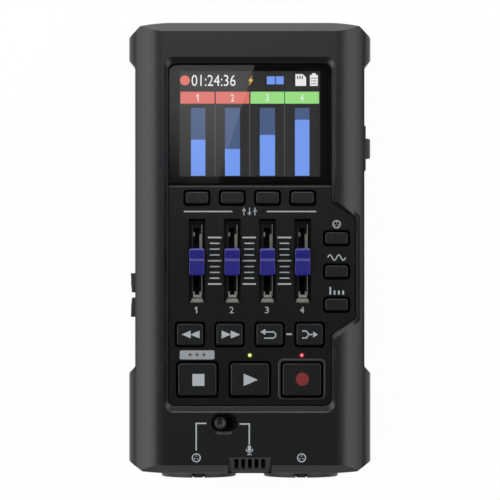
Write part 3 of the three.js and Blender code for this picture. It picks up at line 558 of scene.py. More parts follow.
# Display colours
screen_black = glowing("display_dark_field", "#2d2d2c", 0.9)
screen_red = glowing("display_red", "#e4776c")
screen_green = glowing("display_green", "#9ee587")
screen_blue = glowing("display_blue", "#78a0f7")
screen_dim = glowing("display_dim_blue", "#4c5f88")
screen_white = glowing("display_white", "#f4f4f4")
screen_line = glowing("display_grey_line", "#5a5d63")
screen_yellow = glowing("display_yellow", "#f0c060")
# Window
acrylic = make_acrylic()
# Light pipes, and the sleeves that they stand in
green_lamp = make_lamp("lit_green_epoxy", "#f2ffb0", "#8faa20")
red_lamp = make_lamp("lit_red_epoxy", "#e88088", "#b02030")
green_glow = make_lamp("green_lit_sleeve", "#454a12", "#2a2e0a")
red_glow = make_lamp("red_lit_sleeve", "#6a1424", "#400a16")


def dress(obj, material):
    obj.data.materials.clear()
    obj.data.materials.append(material)


def piece(obj, material, body, slot, *replaced, angle=40, weighted=True):
    """Smooths and paints a finished mesh, gives it its body and hides the nodes it stands for; the slot
    is not used.
    """
    obj.data.transform(Matrix.Translation((0, MIDDLE * MM, 0)))
    only(obj)
    bpy.ops.object.shade_smooth_by_angle(angle=radians(angle))
    if weighted:
        apply(obj, "WEIGHTED_NORMAL", keep_sharp=True)
    dress(obj, material)
    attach(obj, body)
    if replaced:
        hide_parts(*replaced)
    return obj


def paint(obj, material, where):
    """Gives a second material to the faces for which where() says yes."""
    obj.data.materials.append(material)
    index = len(obj.data.materials) - 1
    for face in obj.data.polygons:
        if where(face.center / MM - Vector((0, MIDDLE, 0)), face.normal):
            face.material_index = index


# Case


def case_solid(name, inset, base):
    return meet(
        prism(name, plan(inset), base, 44),
        prism("section", section(inset, base), -68, 69, "Y"),
        prism("profile", profile(inset), -37, 37, "X"),
    )


SCREWS = [(-30.4, 56.95), (30.4, 56.95), (-30.4, -54.65), (30.4, -54.65)]


def seam_ring(outer, inner, low, high):
    """A ring in the thickness of the case's wall, between two levels."""
    ring = cut(case_solid("ring", outer, 0), case_solid("ring_room", inner, 0))
    return meet(ring, slab(low, high))


def at_screws(radius, start, end, sides=24):
    return [rod("screw_rod", radius, start, end, "Z", place, sides) for place in SCREWS]


def half_case(name, low, high, post):
    """The hollow case between two levels, with its screw posts."""
    obj = soften(case_solid(name, 0, 0), 0.25, 2, 20)
    meet(obj, slab(low, high))
    cut(obj, case_solid("hollow", 2, 3.5))
    return unite(obj, *at_screws(*post, 32))


def jack_holes():
    return [rod("jack_hole", 10.5, -69, -61, "Y", (x, SEAM), 64) for x in JACKS]


def recess_cutter():
    """Rises straight, then flares in a hollow curve to the front face."""
    obj = prism("recess", recess(0), PANEL, 40.95)
    middle = (0, (RECESS_TOP + RECESS_BOTTOM) / 2, PANEL)
    half_length = 49.8
    steps = [
        (0.25, 0.35, 0.04), (0.35, 0.5, 0.32), (0.35, 0.5, 0.33), (0.2, 0.25, 0.16),
        (0.15, 0.2, 0.2), (0, 0, 2),
    ]
    with editing(obj, "FACE", above(40.9)):
        for grow_x, grow_y, rise in steps:
            extrude(rise)
            resize(1 + grow_x / BAY, 1 + grow_y / half_length, middle)
    return obj


def tilted(obj):
    """Tilts a piece that is drawn flat at the origin onto the slope of the microphone."""
    angle = radians(35)
    turn = Matrix.Rotation(angle, 4, "X")
    place = Vector((0, BOTTOM + 2.8 * cos(angle) + 0.15, FRONT - 0.3 - 2.8 * sin(angle)))
    obj.data.transform(Matrix.Translation(place * MM) @ turn)
    return obj


def stadium(radius, centre, length):
    """Two half circles, length apart along x."""
    x, y = centre
    return arc((x + length / 2, y), radius, -90, 90) + arc((x - length / 2, y), radius, 90, 270)


def side_box(start, end, centre, size, radius):
    return prism("socket", soft_box(*size, radius, centre), start, end, "X")


def make_front_housing():
    obj = half_case("front_housing", SEAM + GAP / 2, 45, (3.2, SEAM + GAP / 2, 31.3))
    unite(obj, prism("rim", recess(1.2), 36.6, 41))
    # The tongue that keeps light and dust out of the seam
    unite(obj, seam_ring(0.8, 1.4, SEAM - 0.45, SEAM + 0.5))
    unite(obj, block("card_guide", (17.2, -32.85, 24), (32.4, -18.85, 28)))
    cut(obj, recess_cutter(), prism("opening", recess(0), SEAT, PANEL + 0.5))
    cut(obj, prism("throat", recess(-0.9), 30, PANEL))
    cut(
        obj, *at_screws(1.55, 15, 34), *jack_holes(),
        side_box(-36, -29, (VOLUME_UP, SIDE_LEVEL), (6.3, 5.6), 0.5),
        side_box(-36, -29, (VOLUME_DOWN, SIDE_LEVEL), (6.3, 5.6), 0.5),
        side_box(-36, -29, (POWER, SIDE_LEVEL), (7, 3), 0.5),
        rod("phones_hole", 3.5, -36, -29, "X", PHONES),
        side_box(29, 36, USB, (9.6, 3.8), 1.85),
        side_box(29, 36, BEZEL, (13.8, 15), 0.5),
        block("card_slot", (18.4, -31.65, 25.2), (36, -20.05, 26.8)),
    )
    well = prism("well", stadium(2.45, SWITCH, 2.1), 36, 41.2)
    with editing(well, "FACE", above(41.1)):
        extrude(1.2)
        resize(1.2, 1.45, (*SWITCH, FRONT))
    pocket = tilted(block("pocket", (-6.35, -2.85, -1.7), (6.35, 3.0, 6)))
    capsule_hole = tilted(rod("capsule_hole", 3.3, -10, 0))
    cut(obj, well, pocket, capsule_hole)
    piece(obj, shell_abs, "case", "shell", "front_shell", angle=22)


def make_rear_housing():
    obj = half_case("rear_housing", -1, SEAM - GAP / 2, (3.8, 2, SEAM - GAP / 2))
    unite(
        obj,
        block("tub", (-16.3, -22.15, 1.5), (16.3, 34.15, 19.31)),
        block("seat", (-18.3, -24.15, 1.5), (18.3, 36.15, 4.9)),
        rod("insert_post", 5.9, 1.5, 12, "Z", INSERT),
    )
    cut(
        obj,
        block("cell_room", (-15.1, -20.95, 3.1), (15.1, 32.95, 18.11)),
        block("cover_opening", (-17.1, -22.95, -2), (17.1, 34.95, 3.4)),
        rod("insert_hole", 4.8, -2, 10.3, "Z", INSERT),
        slab(-2, 1.5, GRIP_START, GRIP_END),
        seam_ring(0.7, 1.5, SEAM - 0.6, SEAM + 1),
        *at_screws(2.6, -2, 6, 32), *at_screws(1.55, 0, 22), *jack_holes(),
    )
    piece(obj, shell_abs, "case", "shell", "rear_shell", angle=22)


# Panel, window and display

KEY_PLAY = 0.24  # how much narrower a key is than its place
BIG_ROW = -37.66
RECORD = (15.129, BIG_ROW)
THROUGH = (36, 43)  # from below the panel to above it
ROWS = (
    ([f"track_key_{i}" for i in (1, 2, 3, 4)], [(x, 15.225) for x in TRACKS], (7.053, 3.85)),
    (
        ("input_key", "effect_key", "rhythm_key"),
        [(25.235, y) for y in (3.45, -6.21, -15.87)], (7.03, 3.85),
    ),
    (
        ("rewind_key", "forward_key", "undo_key", "bounce_key"),
        [(x, -24.57) for x in (-17.4, -5.903, 5.736, 17.4)], (8.063, 6.65),
    ),
    (("stop_key", "play_key", "record_key"), [(-15.296, BIG_ROW), (0, BIG_ROW), RECORD], (11.599, 9.8)),
)
KEYS = [(*key, size) for names, places, size in ROWS for key in zip(names, places)]
LIGHTS = [(0, -30.64), (RECORD[0], -30.64)]


def make_control_panel():
    obj = prism("control_plate", recess(-GAP), PANEL_BACK, PANEL)
    cut(obj, slab(30, 50, WINDOW - GAP))
    # The edge that meets the window is broken, wide enough to catch the light
    cut(obj, prism("edge", [(18.25, 40.3), (18.9, 39.65), (19.55, 40.3)], -40, 40, "X"))
    guard = prism("guard_ring", soft_box(13.9, 12.1, 1.65, RECORD, 8), PANEL - 0.3, PANEL + 0.7)
    unite(obj, soften(guard, 0.33, 4, 50))
    holes = [
        prism("hole", soft_box(w + 0.9, h + 1, 1.2, (x, y - 0.05)), *THROUGH)
        for _, (x, y), (w, h) in KEYS
    ]
    slots = [prism("slot", soft_box(5, 24.6, 0.5, (x, SLOT_Y), 4), *THROUGH) for x in TRACKS]
    lights = [rod("light_hole", 0.8, *THROUGH, "Z", place, 24) for place in LIGHTS]
    cut(obj, *holes, *slots, *lights)
    soften(obj, 0.07, 2, 50)
    piece(obj, panel_abs, "case", "panel", "control_panel")
    # The raised guard ring gets the paler ABS, partly a painted highlight on its bead
    paint(obj, ring_abs_and_painted_highlight, lambda c, n: c.z > PANEL + 0.1)
    # The edge under the window, where it slopes towards the top end, is painted paler: a painted
    # highlight
    paint(obj, pale_abs_and_painted_highlight, lambda c, n: c.y > 18.2 and 0.3 < n.y < 0.9)


def make_window():
    obj = prism("window_pane", recess(-GAP), PANEL_BACK, PANEL)
    cut(obj, slab(30, 50, last=WINDOW))
    soften(obj, 0.2, 2, 50)
    piece(obj, acrylic, "case", "window", "display_window", angle=10)
    # The black border runs over its edge
    paint(obj, mask_ink, lambda c, n: abs(n.z) < 0.95)


def make_window_print():
    """The black border printed behind the window, with the opening for the picture."""
    obj = prism("window_print", recess(-0.7), PANEL_BACK - 0.06, PANEL_BACK - 0.01)
    cut(obj, slab(30, 50, last=19.4), block("picture_opening", (-20.5, 21.4, 30), (20.5, 52.1, 50)))
    piece(obj, mask_ink, "case", "window")


def make_display_module():
    """The metal can of the display with the glass set into it."""
    obj = soften(block("display_module", (-22.13, 20.92, 35.5), (22.13, 52.58, SEAT)), 0.3)
    cut(obj, block("glass_room", (-20.9, 21.3, PICTURE - 0.3), (20.9, 52.2, 39)))
    unite(obj, block("glass", (-20.85, 21.35, PICTURE - 0.5), (20.85, 52.15, PICTURE)))
    piece(obj, nickel, "case", "screen", "lcd_module")
    paint(obj, screen_black, lambda c, n: n.z > 0.9 and abs(c.z - PICTURE) < 0.01)


def flat(name, points, base, thickness=INK):
    return prism(name, points, base, base + thickness)


def bar(x0, x1, y0, y1, base=PANEL, radius=0.0, thickness=INK):
    """A thin rectangle, with rounded corners where a radius is given."""
    if radius:
        points = soft_box(x1 - x0, y1 - y0, radius, ((x0 + x1) / 2, (y0 + y1) / 2), 4)
    else:
        points = [(x0, y0), (x1, y0), (x1, y1), (x0, y1)]
    return flat("bar", points, base, thickness)


def digits(text, low, high, base, thickness=INK):
    """Digits that fill a box on the face."""
    bpy.ops.object.text_add()
    obj = bpy.context.object
    obj.data.body = text
    obj.data.extrude = 0.1
    obj.data.resolution_u = 3
    only(obj)
    bpy.ops.object.convert(target="MESH")
    obj = named("digits")
    with editing(obj):
        bpy.ops.mesh.remove_doubles(threshold=0.0001)
    first, last = extent([v.co for v in obj.data.vertices])
    start, size = Vector((*low, base)), Vector((high[0] - low[0], high[1] - low[1], thickness))
    for v in obj.data.vertices:
        share = [(v.co[i] - first[i]) / (last[i] - first[i]) for i in range(3)]
        v.co = Vector(start[i] + size[i] * share[i] for i in range(3)) * MM
    return obj


def one(low, high, base, thickness=INK):
    """The digit 1, an upright with a short flag, to fill a box."""
    (x0, y0), (x1, y1) = low, high
    w, h = x1 - x0, y1 - y0
    stem = x1 - 0.42 * w
    return flat("one", [
        (stem, y0), (x1, y0), (x1, y1), (stem + 0.05 * w, y1),
        (x0, y1 - 0.2 * h), (x0, y1 - 0.38 * h), (stem, y1 - 0.28 * h),
    ], base, thickness)


def numeral(value, low, high, base, thickness=INK):
    if value == 1:
        return one(low, high, base, thickness)
    return digits(str(value), low, high, base, thickness)


def photo(px, py, z=PANEL):
    """The place at some level that the camera sees at a pixel of the photograph."""
    scale = (EYE[2] / MM - z) * SENSOR / LENS / PIXELS
    return EYE[0] / MM + (px - PIXELS / 2) * scale, (PIXELS / 2 - py) * scale


def screen_bar(px0, px1, py0, py1, layer=1):
    x0, y1 = photo(px0, py0, PICTURE)
    x1, y0 = photo(px1, py1, PICTURE)
    return bar(x0, x1, y0, y1, PICTURE + LAYER * layer, 0, LAYER)


def screen_shape(places):
    return flat("shape", [photo(*p, PICTURE) for p in places], PICTURE + LAYER, LAYER)


def make_picture():
    """What the display shows: a counter, small symbols, four headers and four level meters."""
    layers = {}

    def show(material, *objects):
        layers.setdefault(material, []).extend(objects)

    headers = [(180.5, 214.5), (215.8, 249.3), (250.5, 284.2), (285, 319)]
    meters = [(191, 205.4, 139.7), (225, 240, 149), (259.8, 275, 135), (294.9, 309.4, 119.8)]
    for i, (left, right) in enumerate(headers):
        show(screen_green if i > 1 else screen_red, screen_bar(left, right, 91.8, 103.7))
        middle = (left + right) / 2
        half = 1.6 if i else 1.1
        low, high = photo(middle - half, 101.4, PICTURE), photo(middle + half, 94.4, PICTURE)
        show(screen_white, numeral(i + 1, low, high, PICTURE + 2 * LAYER, LAYER))
    for left, right, top in meters:
        show(screen_dim, screen_bar(left, right, 107.9, 175.8))
        show(screen_blue, screen_bar(left, right, top, 175.8, 2))
    for px in (215.1, 249.8, 284.5):
        show(screen_line, screen_bar(px - 0.35, px + 0.35, 104.5, 176))
    place = photo(185, 80.5, PICTURE)
    show(screen_red, rod("dot", 1.45, PICTURE + LAYER, PICTURE + 2 * LAYER, "Z", place, 32))
    low, high = photo(191.6, 86.2, PICTURE), photo(235.6, 74.9, PICTURE)
    show(screen_white, digits("01:24:36", low, high, PICTURE + LAYER, LAYER))
    bolt = [(252.6, 75.5), (248, 81.2), (250.4, 81.2), (248.6, 86), (253.6, 79.6), (251, 79.6)]
    show(screen_yellow, screen_shape(bolt))
    show(screen_blue, screen_bar(266.8, 274.9, 76.4, 84.4), screen_bar(275.8, 283.6, 76.4, 84.4))
    card = [(295.4, 74.2), (302.6, 74.2), (306, 77.6), (306, 86), (295.4, 86)]
    show(screen_white, screen_shape(card))
    show(screen_line, *[screen_bar(297 + 2.3 * i, 298.3 + 2.3 * i, 76, 79, 2) for i in range(3)])
    show(screen_white, screen_bar(309.9, 317.7, 75, 86), screen_bar(312, 315.6, 73.3, 75))
    show(screen_line, *[screen_bar(310.9, 316.7, y, y + 0.7, 2) for y in (78, 80.7, 83.4)])
    for i, (material, objects) in enumerate(layers.items()):
        piece(merged(f"display_picture_{i + 1}", objects), material, "case", "screen")


# Printed marks


def ring(centre, radius, width, base, sides=32):
    outer = rod("ring", radius + width / 2, base, base + INK, "Z", centre, sides)
    return cut(outer, rod("ring_hole", radius - width / 2, base - 1, base + 1, "Z", centre, sides))


def line(points, width, base):
    return flat("line", stroke(points, width), base)


def jack_mark(centre, size, base):
    """A socket seen from the front: a ring with three dots."""
    dots = three_round(centre, 0.45 * size)
    return [
        ring(centre, size, 0.32, base),
        *[rod("dot", 0.17 * size, base, base + INK, "Z", dot, 16) for dot in dots],
    ]


def wave_mark(x, y):
    """Two waves."""
    shares = [i / 24 for i in range(25)]
    return [line([(x + 5.2 * (s - 0.5), y + 0.8 * sin(s * 4 * pi)) for s in shares], 0.34, PANEL)]


def beat_mark(x, y):
    """Four beats, the first one stressed."""
    return [
        bar(x - 2.1 + 1.25 * i, x - 1.6 + 1.25 * i, y - 1.1, y - 1.1 + height)
        for i, height in enumerate((2.2, 1.2, 1.2, 1.2))
    ]


def microphone_mark(x, y, base):
    head = flat("head", soft_box(1.0, 1.7, 0.49, (x, y + 0.55)), base)
    cradle = line(arc((x, y + 0.35), 0.95, 180, 360), 0.26, base)
    return [
        head, cradle, bar(x - 0.13, x + 0.13, y - 1.2, y - 0.6, base),
        bar(x - 0.6, x + 0.6, y - 1.4, y - 1.15, base),
    ]


def fader_mark(x, y):
    """Three small faders."""
    parts = []
    for i, height in enumerate((0.35, -0.45, 0.1)):
        left = x + 1.6 * (i - 1)
        parts.append(bar(left - 0.13, left + 0.13, y - 1.1, y + 1.1))
        parts.append(bar(left - 0.5, left + 0.5, y + height - 0.22, y + height + 0.22))
    return parts


def printed(name, marks, material, body, slot):
    piece(merged(name, marks), material, body, slot, weighted=False)


def make_panel_print():
    marks = []
    for px0, px1 in ((183.8, 232.4), (266.7, 316.2)):
        (x0, y), (x1, _) = photo(px0, 211.5), photo(px1, 211.5)
        marks.append(bar(x0, x1, y - 0.19, y + 0.19))
    marks += fader_mark(*photo(249.5, 211.5))
    for px in (214.7, 249.2, 284.5):
        for i in range(9):
            x, y = photo(px, 237.5 + 5.81 * i)
            long = i % 4 == 0
            half, thick = (1.95, 0.22) if long else (1.42, 0.18)
            marks.append(bar(x - half, x + half, y - thick, y + thick))
    for i, px in enumerate((195.9, 231.6, 266.9, 302.1), 1):
        half = 1.3 if i == 1 else 2.0
        marks.append(numeral(i, photo(px - half, 313.2), photo(px + half, 306.8), PANEL))
    x, y = photo(289.2, 334.2)
    marks.append(bar(x - 0.8, x + 0.8, y - 0.25, y + 0.25))
    (x0, y1), (x1, y0) = photo(179.7, 350.4), photo(214.5, 359.4)
    printed("pale_label", [bar(x0, x1, y0, y1, radius=0.45)], label_ink, "case", "panel")
    marks += jack_mark(photo(336.6, 224.2), 1.05, PANEL)
    marks += wave_mark(*photo(336.6, 257.5))
    marks += beat_mark(*photo(336.6, 290.8))
    printed("panel_print", marks, ink, "case", "panel")
    x, y = photo(197.1, 354.75)
    dots = [rod("dot", 0.42, PANEL + INK, PANEL + 2 * INK, "Z", (x + d, y), 20) for d in (-2, 0, 2)]
    printed("pale_label_dots", dots, dark_ink, "case", "panel")


def make_front_print():
    marks = []
    for turns in (
        [(206.4, 423.4), (196.2, 423.4), (196.2, 450.5)],
        [(239.5, 424), (249.3, 424), (249.3, 444.4)],
    ):
        marks.append(line([photo(*p, FRONT) for p in turns], 0.4, FRONT))
    for px in (196.3, 301.6):
        marks += jack_mark(photo(px, 457.8, FRONT), 1.15, FRONT)
    marks += microphone_mark(*photo(249.4, 450.2, FRONT), FRONT)
    printed("front_print", marks, ink, "case", "shell")


# Keys


def make_key(name, place, size):
    """A cap with a softly rounded top, the flange that holds it in and the stem over its switch."""
    w, h = (side - KEY_PLAY for side in size)
    cap = prism(name, soft_box(w, h, 0.8, place), KEY_FOOT, KEY_TOP)
    with editing(cap, "FACE", above(41)):
        resize((w - 0.3) / w, (h - 0.3) / h, (*place, KEY_TOP))
    with editing(cap, "EDGE", above(41)):
        bevel(0.22, 3)
    return unite(
        cap,
        prism("flange", soft_box(w + 1, h + 1, 0.8, place, 3), KEY_FOOT, SEAT),
        prism("stem", soft_box(2.4, 2.4, 0.8, place, 3), 34.3, 37.6),
    )


def triangle(x, y, width, height):
    """Points to the right of x for a positive width."""
    return flat("triangle", [(x, y - height / 2), (x, y + height / 2), (x + width, y)], KEY_TOP)


def key_mark(name, place):
    """The printed symbols of a key, or none."""
    x, y = place
    if name == "rewind_key":
        return [triangle(x + 0.2, y, -2.62, 2.3), triangle(x + 2.8, y, -2.7, 2.3)], ink
    if name == "forward_key":
        return [triangle(x - 2.3, y, 2.75, 2.3), triangle(x + 0.35, y, 2.75, 2.3)], ink
    if name == "undo_key":
        bend = [(x - 1.3, y + 0.75), *arc((x + 0.9, y - 0.15), 0.9, 90, -90, 10), (x - 1.6, y - 1.05)]
        return [line(bend, 0.36, KEY_TOP), triangle(x - 1.2, y + 0.75, -1.5, 1.7)], ink
    if name == "bounce_key":
        upper = [(x - 2.2, y + 1), (x - 1.0, y + 1), (x - 0.2, y), (x + 1.2, y)]
        lower = [(x - 2.2, y - 1), (x - 1.0, y - 1), (x - 0.35, y - 0.2)]
        parts = [line(upper, 0.36, KEY_TOP), line(lower, 0.36, KEY_TOP)]
        return [*parts, triangle(x + 1.0, y, 1.4, 1.7)], ink
    if name == "stop_key":
        return [bar(x - 1.4, x + 2.1, y - 1.86, y + 1.62, KEY_TOP)], ink
    if name == "play_key":
        return [triangle(x - 1.8, y - 0.1, 4.15, 3.6)], ink
    if name == "record_key":
        return [rod("dot", 1.92, KEY_TOP, KEY_TOP + INK, "Z", (x + 0.15, y + 0.1), 40)], red_ink
    return [], None


def make_keys():
    first = {}
    for name, place, size in KEYS:
        button = name.replace("_key", "_button")
        if size in first:
            model, origin = first[size]
            obj = copy_of(model, button, (place[0] - origin[0], place[1] - origin[1], 0))
        else:
            obj = make_key(button, place, size)
            first[size] = (copy_of(obj, "key_model", (0, 0, 0)), place)
        piece(obj, key_abs, name, "key", name)
        # The key is painted black below the panel's face, sides and flange: painted shade of the deep
        # gap round it
        paint(obj, felt_and_painted_shade, lambda c, n: c.z < PANEL)
        marks, material = key_mark(name, place)
        if marks:
            printed(f"{button}_print", marks, material, name, "key")
    for model, _ in first.values():
        bpy.data.objects.remove(model)


def make_lights():
    for place, name, material, glow, slot in (
        (LIGHTS[0], "play_light", green_lamp, green_glow, "green_light"),
        (LIGHTS[1], "record_light", red_lamp, red_glow, "red_light"),
    ):
        outline = [
            (0, 33.5), (0.5, 33.5), (0.5, KEY_FOOT), (1, KEY_FOOT), (1, SEAT), (0.5, SEAT),
            (0.5, 39.8), (0.48, 40.05), (0.38, 40.22), (0.22, 40.32), (0, 40.35),
        ]
        obj = turned(f"{name}_pipe", outline, "Z", place, 24)
        piece(obj, material, "case", slot, name)
        # Below the panel's face it stands in a dimly lit sleeve
        paint(obj, glow, lambda c, n: c.z < 39.7)


# Faders


def make_fader_cap(name, x):
    """Two low humps, the ends rounded, and a rib for a fingertip a little above the middle."""
    shares = [
        (0.5, 0), (0.5, 0.7), (0.49, 0.86), (0.465, 0.955), (0.42, 1), (0.36, 0.99), (0.28, 0.955),
        (0.2, 0.91), (0.12, 0.86), (0.1, 0.85), (0.06, 0.98), (0.03, 0.995), (0, 0.985),
        (-0.1, 0.98), (-0.42, 0.955), (-0.465, 0.92), (-0.49, 0.83), (-0.5, 0.7), (-0.5, 0),
    ]
    width, length, height = 4.4, 8.1, 2.8
    points = [(FADER_Y + a * length, 40.5 + b * height) for a, b in shares]
    obj = prism(name, points, x - width / 2, x + width / 2, "X")
    meet(obj, prism("corners", soft_box(width, length, 0.7, (x, FADER_Y)), 40, 44))
    soften(obj, 0.36, 3, 40)
    socket = block("socket", (x - 0.9, FADER_Y - 2.3, 40), (x + 0.9, FADER_Y + 2.3, 42.4))
    return cut(obj, socket)


def make_fader_body(name, x):
    """The moulded body of a fader, a slit along its top for the lever."""
    obj = soften(block(name, (x - 4.1, -15.47, 33.5), (x + 4.1, 8.63, 37.4)), 0.25)
    plate = block("end_block", (x - 1.1, 6.45, 37.3), (x + 1.0, 7.5, 37.8))
    unite(obj, cut(plate, block("notch", (x - 0.25, 7.1, 37.35), (x + 0.4, 8, 39))))
    return cut(
        obj,
        block("channel", (x - 3.3, -13.27, 34.3), (x + 3.3, 6.43, 36.9)),
        block("slit", (x - 0.95, -13.27, 34.3), (x + 0.68, 6.43, 40)),
    )


def make_fader_rails(name, x):
    """The metal in a slot: a thin lip, a short rail, its upstand, an ear, an end plate and a tongue."""
    start, end, low, high = -13.2, 7.4, 37.3, 37.6
    lever = 0.68  # half the width that the lever needs
    obj = block(name, (x - 1.5, start, low), (x - 1.3, end, high))
    rail = block("rail", (x + lever, -1, low), (x + 1.3, 4.6, high))
    upstand = block("upstand", (x + 1.3, start, low), (x + 1.52, end, 38.3))
    ear = block("ear", (x - 1.15, 3.9, low), (x - lever, 5.1, 37.7))
    end_plate = prism("end_plate", [
        (-12.1, low), (-12.1, 37.45), (-13.85, 38.1), (-13.85, low),
    ], x - 1.15, x + 1.25, "X")
    notch = block("notch", (x - lever, -13.05, 37), (x + lever, -11.5, 39))
    tongue = prism("tongue", [
        (-13.95, low), (-13.95, 37.5), (-14.8, 37.85), (-15.4, 37.85), (-15.4, low),
    ], x - 2.1, x + 2.1, "X")
    outline = [
        (x - 1.35, -13.9), (x + 1.35, -13.9), (x + 1.6, -14.3), (x + 2.1, -15.4), (x - 2.1, -15.4),
        (x - 1.6, -14.3),
    ]
    meet(tongue, prism("outline", outline, 37, 39))
    unite(obj, rail, upstand, ear, cut(end_plate, notch), tongue)
    return soften(obj, 0.06, 2, 40)


def make_faders():
    models = [
        (make_fader_cap, "fader_knob", "fader_cap", blue_abs, "blue_cap"),
        (make_fader_body, "fader_body", "fader_frame", fader_abs_and_painted_shade, "black_plastic"),
        (make_fader_rails, "fader_rails", None, fader_steel, "steel"),
    ]
    for make, name, node, material, slot in models:
        model = make(f"{name}_model", TRACKS[0])
        for i, x in enumerate(TRACKS, 1):
            obj = copy_of(model, f"{name}_{i}", (x - TRACKS[0], 0, 0))
            body = f"fader_{i}" if make == make_fader_cap else "case"
            replaced = [f"{node}_{i}"] if node else []
            piece(obj, material, body, slot, *replaced, angle=35)
            if make == make_fader_rails:
                # The thin lip is painted black nylon: painted shade, where it lies in shadow
                paint(obj, nylon, lambda c, n: c.x < x - 1.25 and c.y > -12)
        bpy.data.objects.remove(model)


# Input switch and microphone


def make_switch_knob():
    """A round knob with a shallow dish, at the left end of its well."""
    x, y = SWITCH[0] - 1.2, SWITCH[1]
    obj = turned("switch_knob", [
        (0, 38.0), (2.0, 38.0), (2.0, 40.2), (1.74, 41.0), (1.68, 41.08), (1.6, 41.1), (1.5, 41.06),
        (1.42, 40.9), (1.1, 40.75), (0, 40.7),
    ], "Z", (x, y))
    unite(obj, block("foot", (x - 1, y - 1, 37.4), (x + 1, y + 1, 38.5)))
    piece(obj, key_abs, "input_switch", "key", "input_switch_knob")


def make_grille():
    """A grille of five slots on the slope between the jacks, in a raised frame."""
    obj = block("microphone_grille", (-6.3, -2.8, -1.4), (6.3, 2.8, -0.35))
    border = prism("border", [(-5.4, -2.8), (5.4, -2.8), (6.3, 2.8), (-6.3, 2.8)], -1.4, 0)
    cut(border, block("inside", (-4.75, -1.9, -3), (4.75, 2.25, 3)))
    unite(obj, border)
    for i in range(5):
        x = (i - 2) * 1.93
        cut(obj, prism("slot", soft_box(1.2, 3.7, 0.3, (x, 0.1), 4), -4, 3))
    soften(obj, 0.12, 2, 40)
    piece(tilted(obj), pale_abs_and_painted_highlight, "case", "shell", "mic_grille")


# Jacks

PINS = 5.3  # from a jack's axis to its pins


def make_jack(letter, x):
    face, axis = JACK_FACE, (x, SEAM)
    body = block(f"jack_{letter}_body", (x - 11, -62.15, 9.7), (x + 11, -37.15, 31.3))
    soften(body, 0.5, 3)
    collar = turned("collar", [
        (3, face + 1), (7.4, face + 1), (7.4, face + 3), (9.1, face + 3), (9.1, face + 0.25),
        (9.35, face), (10.7, face), (11, face + 0.3), (11, face + 1.5), (10.2, face + 1.5),
        (10.2, -61.85), (3, -61.85),
    ], "Y", axis, 64)
    unite(body, collar)
    groove_points = [(7.4, -68), (9.1, -68), (9.1, -56.85), (7.4, -56.85)]
    groove = turned("groove", groove_points, "Y", axis, 64)
    bore = turned("bore", [
        (0, -69), (4.0, -69), (4.0, face + 1), (3.4, face + 1.6), (3.4, -44.85), (0, -44.85),
    ], "Y", axis, 40)
    pins = [rod("pin_hole", 1.2, -69, -57.85, "Y", place, 24) for place in three_round(axis, PINS)]
    tab_room = block("tab_room", (x - 1.7, -69, 28.0), (x + 1.7, -61.05, 33))
    cut(body, groove, bore, *pins, tab_room)
    unite(body, block("tab_guide", (x - 1.8, -66.7, 27.6), (x + 1.8, -61, 28.05)))
    piece(body, nylon, "case", "black_plastic", f"combo_jack_{letter}")


def make_contacts(letter, x):
    """The sleeves in the pin holes and the spring ring in the bore."""
    sleeve_points = [(0.8, -65.1), (0.95, -65.3), (1.15, -65.3), (1.15, -58), (0.8, -58)]
    parts = [
        turned("sleeve", sleeve_points, "Y", place, 20) for place in three_round((x, SEAM), PINS)
    ]
    parts.append(turned("spring_ring", [
        (3.05, -63.3), (3.35, -63.6), (3.35, -61.6), (3.05, -61.9),
    ], "Y", (x, SEAM), 40))
    piece(merged(f"jack_{letter}_contacts", parts), nickel, "case", "steel")


def make_release_tab(letter, x):
    """A press tab with three grip lines."""
    obj = block(f"jack_{letter}_tab", (x - 1.4, JACK_FACE, 28.3), (x + 1.4, -62.35, 30.4))
    soften(obj, 0.3, 3)
    for z in (28.85, 29.35, 29.85):
        cut(obj, block("line", (x - 0.95, -67.2, z - 0.1), (x + 0.95, -66.65, z + 0.1)))
    piece(obj, nylon, f"release_tab_{letter}", "black_plastic", f"release_tab_{letter}")


# Dial and side controls


def make_dial_wheel():
    """A thumb wheel with a knurled rim."""
    teeth = 40
    ends = (26.8, 32.7)
    points = []
    for i in range(teeth):
        for share, radius in ((0.0, 6.72), (0.3, 6.72), (0.45, 7.0), (0.85, 7.0)):
            angle = 2 * pi * (i + share) / teeth
            points.append((DIAL[0] + radius * cos(angle), DIAL[1] + radius * sin(angle)))
    obj = prism("thumb_wheel", points, *ends, "Y")

    def end_rim(edge):
        low, high = level(edge)
        return high.y - low.y < 0.01

    with editing(obj, "EDGE", end_rim):
        bevel(0.45, 2)
    for y in ends:
        cut(obj, turned("hollow", [
            (2.6, y - 0.5), (5.6, y - 0.5), (5.6, y + 0.5), (2.6, y + 0.5),
        ], "Y", DIAL, 40))
    cut(obj, rod("bore", 1.8, 20, 40, "Y", DIAL, 32))
    piece(obj, nylon, "dial_wheel", "black_plastic", "dial_wheel", angle=30)


def make_dial_bezel():
    obj = prism("dial_surround", soft_box(13.2, 14.4, 0.9, BEZEL), 31.8, 33.9, "X")
    cut(obj, block("opening", (30, 26.5, 21.6), (36, 33.0, 35.0)))
    soften(obj, 0.3, 3)
    piece(obj, nylon, "case", "black_plastic", "dial_bezel")


def make_volume_button(name, y, direction):
    """A rocker half: higher at its far end, with a raised sign."""
    near, far = y - direction * 2.85, y + direction * 2.85
    points = [(-30.1, near), (-34.75, near), (-35.05, far), (-30.1, far)]
    obj = prism(name + "_cap", points, 23.5, 28.5)
    soften(obj, 0.35, 3)
    unite(obj, block("flange", (-31.1, y - 3.35, 23), (-30.1, y + 3.35, 29)))
    marks = [block("sign", (-35.02, y - 0.9, 25.85), (-34.7, y + 0.9, 26.15))]
    if direction > 0:
        marks.append(block("sign", (-35.02, y - 0.15, 25.1), (-34.7, y + 0.15, 26.9)))
    unite(obj, *marks)
    piece(obj, nylon, name, "black_plastic", name + "_button")


